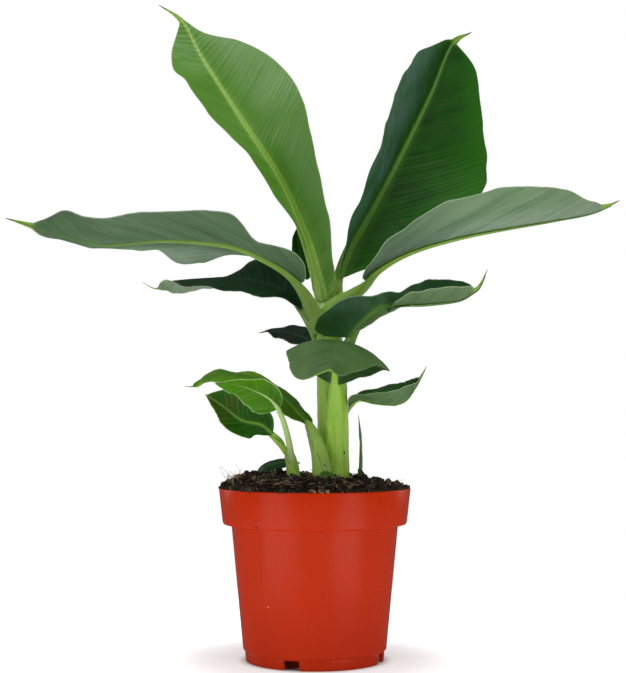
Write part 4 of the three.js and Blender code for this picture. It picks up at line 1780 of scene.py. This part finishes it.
                    (-16.5, -15.5, 129), (-20, -17, 134), (-25, -18, 139), (-33, -19, 146), (-45, -20, 149),
                    (-57, -22, 158), (-67, -24, 165),
                ),
                stalk=(2.6, 2.5, 2.1), blade_from=0.24, tail=0.03, widest=0.48, base=(0.65,), tip=(0.7,),
                half_left=(16, 13, 11, 10.5, 9, 6), half_right=(17, 15, 15),
                roll=(-80,), fold_left=(12,), fold_right=(18,),
                curl_left=(12,), curl_right=(20,), sweep=(10,), ripple=(0.6, 3),
                rib=(0.75, 1.0), hook=0.8, quilt=0.15, flare=0.1, slant=0.7, steps=(80, 34),
            ),
            Slot.DARK_LEAF,
            upper=FaceFinish(
                "164A04", "306E08", "6FA23C", "7CAE50", gloss=0.36, shine=0.2, veined=0.05, patchy=0.35,
                tint_and_painted_sheen="64941A", tint_and_sheen_strength=0.6,
            ),
            under=FaceFinish("3A6624", "507C34", "8FB06A", "A5BF90", gloss=0.5),
            green=BRIGHT, seed=36,
        ),
        Leaf(
            LeafForm(
                "soil_leaf",
                spine=((-36, 4, 116.5), (-31, 3, 120), (-23, 2, 122.3), (-15, 0, 122.7), (-9, -1, 122)),
                stalk=(), blade_from=0.0, tail=0.05, widest=0.45, base=(0.2,), tip=(0.8,),
                half_left=(5,), half_right=(6,),
                roll=(10,), fold_left=(15,), fold_right=(-35,),
                ripple=(0.2, 2),
                quilt=0.1, slant=0.6, steps=(50, 20),
            ),
            Slot.DARK_LEAF,
            upper=FaceFinish("173A1C", "24522A", "3F6A38", "4F7A48", gloss=0.36),
            under=FaceFinish("2A5A22", "3A7030", "4F8A3A", "5F8A48", gloss=0.5),
            seed=39, sheet=0.4,
        ),
        Leaf(
            LeafForm(
                "furled_leaf",
                spine=((-5, 10, 238), (-8.5, 15, 250), (-10.5, 20, 261), (-11.5, 23, 275)),
                stalk=(), blade_from=0.0, tail=0.08, widest=0.55, base=(0.3,), tip=(0.7,),
                half_left=(6,), half_right=(5,),
                roll=(0,), fold_left=(10,), fold_right=(10,),
                curl_left=(20,), curl_right=(20,), ripple=(0.2, 2),
                rib=(0.4, 1.0), hook=0.5, ragged=0.15, quilt=0.1, steps=(60, 24),
            ),
            Slot.LIGHT_LEAF,
            upper=FaceFinish("1E5008", "2C660E", "3F7A1E", "4F8A30", gloss=0.42, shine=0.15),
            under=FaceFinish("2A5A18", "3A7020", "4F8A3A", "5F8A48", gloss=0.5),
            seed=41, sheet=0.4, in_frame=False,
        ),
        Leaf(
            LeafForm(
                "twisted_right_fold",
                spine=(
                    (25, -20, 204), (31, -25, 209), (39.6, -31, 214.6), (48.7, -35, 218), (57, -37, 220.3),
                ),
                stalk=(), blade_from=0.0, tail=0.05, widest=0.45, base=(0.4,), tip=(0.6,),
                half_left=(3,), half_right=(3,),
                roll=(-60,), fold_left=(0,), fold_right=(0,),
                ripple=(0.2, 3),
                rib=(0.3, 1.0), hook=0.4, ragged=0.3, quilt=0.1, slant=0.9, steps=(60, 20),
            ),
            Slot.DARK_LEAF,
            upper=FOLD_FINISH,
            under=FOLD_FINISH,
            seed=43, sheet=0.4, in_frame=False,
        ),
        Leaf(
            LeafForm(
                "foot_leaf",
                spine=((1, -18, 112), (4, -21, 115), (8, -22.5, 115.6), (13, -22, 114)),
                stalk=(), blade_from=0.0, tail=0.05, widest=0.5, base=(0.4,), tip=(0.5,),
                half_left=(2.8,), half_right=(2.8,),
                roll=(50,), fold_left=(10,), fold_right=(10,),
                ripple=(0.1, 2),
                rib=(0.3, 1.0), hook=0.2, ragged=0.1, quilt=0.05, steps=(30, 16),
            ),
            Slot.DARK_LEAF,
            upper=FaceFinish("3C6E20", "54862E", "3F7A30", "4F8A40", gloss=0.4, shine=0.2),
            under=FaceFinish("2A5A22", "3A7030", "4F8A3A", "5F8A48", gloss=0.5),
            seed=42, sheet=0.4, in_frame=False,
        ),
        Leaf(
            LeafForm(
                "spike_sheath",
                spine=((27.6, 1.5, 106), (27.4, 1, 111), (27.0, 0.5, 118.5)),
                stalk=(), blade_from=0.0, tail=0.02, widest=0.6, base=(0.3,), tip=(0.2,),
                half_left=(4.4, 4.4, 3.8), half_right=(4.2, 4.2, 3.4),
                roll=(90,), fold_left=(-35,), fold_right=(-35,),
                curl_left=(-40,), curl_right=(-40,), ripple=(0.2, 2),
                rib=(0.2, 1.0), hook=0.4, ragged=0.5, quilt=0.05, steps=(30, 24),
            ),
            Slot.STEM,
            upper=HUSK_FINISH,
            under=HUSK_FINISH,
            seed=45, sheet=0.4, in_frame=False,
        ),
    ]


def stems() -> list[Stem]:
    """Lists the main stem, the sucker stems and the spike.

    Returns:
        The stems.
    """
    return [
        Stem(
            "pseudostem",
            ((11.5, 0, 102), (11.5, 0, 135), (11, 0, 170), (9.5, 0, 200), (7.5, 0, 221)),
            (9.8, 8.9, 8.8, 8.3, 5.6),
            (
                Sheath(170, 206, 30, 140, 0.4),
                Sheath(145, 196, 24, 130, 0.4),
                Sheath(-35, 188, 26, 120, 0.45),
                Sheath(-8, 156, 20, 105, 0.4),
                Sheath(-84, 166, 15, 68, 0.6),
            ),
            StalkFinish("BEEC4E", "98CC3C", "C4E090", "64922C"), spots=0.06,
        ),
        Stem(
            "right_sucker_stem",
            ((4.5, -13, 102), (4.2, -12.8, 118), (2.5, -12.5, 130), (-1.2, -12.3, 141), (-5.2, -11.3, 149)),
            (6.1, 5.6, 4.9, 3.9, 2.4),
            (Sheath(-60, 139, 50, 120, 0.35), Sheath(-140, 132, 30, 80, 0.4)),
            StalkFinish("BCE45C", "98C846", "7A5A30", "93BA55", 0.8), spots=0.03, facets=72, rings=60,
        ),
        Stem(
            "left_sucker_stem",
            ((-12, -15, 102), (-13.5, -15, 118), (-16, -15.5, 129)),
            (4.2, 3.8, 3.2),
            (Sheath(-40, 128, 60, 130, 0.3), Sheath(-120, 124, 40, 90, 0.35)),
            StalkFinish("BCE45C", "98C846", "7A4A2C", "93BA55", 0.8), spots=0.03, facets=64, rings=50,
        ),
        Stem(
            "spike_shoot",
            ((28, 6, 104), (29, 6, 121), (29, 6, 136), (27.6, 6, 152)),
            (1.3, 1.05, 0.8, 0.25),
            (Sheath(-90, 140, 40, 120, 0.12),),
            StalkFinish("93B27C", "688C56", "8FAE78", "4E7040"), spots=0.0, facets=20, rings=40,
        ),
    ]


# ---- studio ----
def grey(level: float) -> Colour:
    """A linear grey with full opacity."""
    return level, level, level, 1.0


@dataclass(frozen=True)
class SoftBox:
    """A rectangular soft light that the camera doesn't see.

    Attributes:
        name: Its name.
        place: Where it hangs, in metres.
        aim: The point that it faces, in metres.
        size: Its width and height in metres.
        power: Its power in watts.
    """

    name: str
    place: tuple[float, float, float]
    aim: tuple[float, float, float]
    size: tuple[float, float]
    power: float

    def build(self) -> None:
        """Hangs the light."""
        lamp = bpy.data.lights.new(self.name, "AREA")
        lamp.shape = "RECTANGLE"
        lamp.size, lamp.size_y = self.size
        lamp.energy = self.power
        holder = bpy.data.objects.new(self.name, lamp)
        holder.location = self.place
        holder.rotation_euler = (Vector(self.aim) - Vector(self.place)).to_track_quat("-Z", "Y").to_euler()
        holder.visible_camera = False
        bpy.context.scene.collection.objects.link(holder)


PLANT = (0.0, 0.0, 0.2)
OVERHEAD = (0.0, 0.0, 1.0)
LIGHTS = (
    SoftBox("left_box", (-0.98, -1.0, 0.46), PLANT, (0.5, 0.9), 3.3),
    SoftBox("right_box", (0.98, -1.02, 0.46), PLANT, (0.5, 0.9), 3.1),
    SoftBox("left_strip", (-0.22, -0.225, 0.062), OVERHEAD, (0.13, 0.38), 0.18),
    SoftBox("right_strip", (0.20, -0.235, 0.062), OVERHEAD, (0.10, 0.38), 0.15),
    SoftBox("top_box", (0.0, -0.35, 1.5), PLANT, (1.2, 1.2), 8.2),
    SoftBox("back_left_box", (-1.1, 0.75, 0.4), PLANT, (0.4, 1.0), 2.0),
    SoftBox("back_right_box", (1.1, 0.75, 0.4), PLANT, (0.4, 1.0), 2.0),
)


@dataclass
class Studio:
    """A white surround, a glowing round floor, the soft lights and the camera.

    Attributes:
        floor_radius: Radius of the floor in metres.
        shade: Distances from the middle, in metres, where the painted shadow at the pot's foot
        starts to fade, where it is half gone and where the floor is white.
        surround: Strength of the white surround where the camera doesn't see it.
        camera_side: How far the camera stands to the right.
        camera_back: How far it stands in front.
        camera_height: How high it stands.
        pitch_up: How far it looks up in degrees.
        lens: Its focal length.
    """

    floor_radius: float = 0.36
    shade: tuple[float, float, float] = (0.038, 0.05, 0.12)
    surround: float = 0.12
    camera_side: float = -1.1
    camera_back: float = 945.0
    camera_height: float = 161.5
    pitch_up: float = 2.42
    lens: float = 80.45

    def floor(self) -> None:
        """Builds a round floor that glows white like a lamp, with the glow off in a painted shadow at the
        pot's foot.
        """
        bm = bmesh.new()
        bmesh.ops.create_circle(bm, cap_ends=True, segments=96, radius=self.floor_radius)
        mesh = bpy.data.meshes.new("studio_floor")
        bm.to_mesh(mesh)
        bm.free()
        g = Graph("studio_floor", roughness=0.9, Specular_IOR_Level=0.0, Emission_Strength=1.0)
        dark, dim, white = self.shade
        away = g.put("VectorMath", {0: g.place()}, out=1, operation="LENGTH")
        # Painted shadow: the floor's glow is off under the pot and rises round its foot to full white.
        glow = g.mix(g.grade(away, dark, dim), grey(0.0), grey(0.56))
        glow = g.mix(g.grade(away, dim, white), glow, grey(1.0))
        g.feed(g.shader.inputs["Emission Color"], glow)
        g.colour(g.mix(g.grade(g.noise(g.place(), 30.0), 0.3, 0.7), grey(0.58), grey(0.6)))
        mesh.materials.append(g.material)
        floor = bpy.data.objects.new("studio_floor", mesh)
        bpy.context.scene.collection.objects.link(floor)
        floor.visible_glossy = False

    def sky(self) -> None:
        """Sets the surround: white to the camera, and dimmer as a light."""
        world = bpy.data.worlds.new("studio_white")
        world.use_nodes = True
        nodes, links = world.node_tree.nodes, world.node_tree.links
        sight = nodes.new("ShaderNodeLightPath")
        spread = nodes.new("ShaderNodeMapRange")
        spread.inputs["To Min"].default_value = self.surround
        spread.inputs["To Max"].default_value = 1.0
        links.new(sight.outputs["Is Camera Ray"], spread.inputs["Value"])
        nodes["Background"].inputs["Color"].default_value = grey(1.0)
        links.new(spread.outputs["Result"], nodes["Background"].inputs["Strength"])
        bpy.context.scene.world = world

    def camera(self) -> None:
        """Sets up the camera."""
        camera = bpy.data.objects.new("camera", bpy.data.cameras.new("camera"))
        camera.data.lens = self.lens
        camera.data.clip_start = 0.01
        camera.location = (self.camera_side * MM, -self.camera_back * MM, self.camera_height * MM)
        camera.rotation_euler = (math.radians(90 + self.pitch_up), 0, 0)
        bpy.context.scene.collection.objects.link(camera)
        bpy.context.scene.camera = camera
        bpy.context.scene.view_settings.view_transform = "Standard"

    def build(self) -> None:
        """Builds the floor, the surround, the lights and the camera."""
        self.floor()
        self.sky()
        for box in LIGHTS:
            box.build()
        self.camera()


def main() -> None:
    """Builds the studio, the pot and the plant."""
    logging.basicConfig(level=logging.INFO, format="%(name)s %(message)s")
    Studio().build()
    pot = Pot()
    pot.build()
    Compost(pot).build()
    for stem in stems():
        stem.build()
    for leaf in leaves():
        leaf.build()


if __name__ == "__main__":
    main()
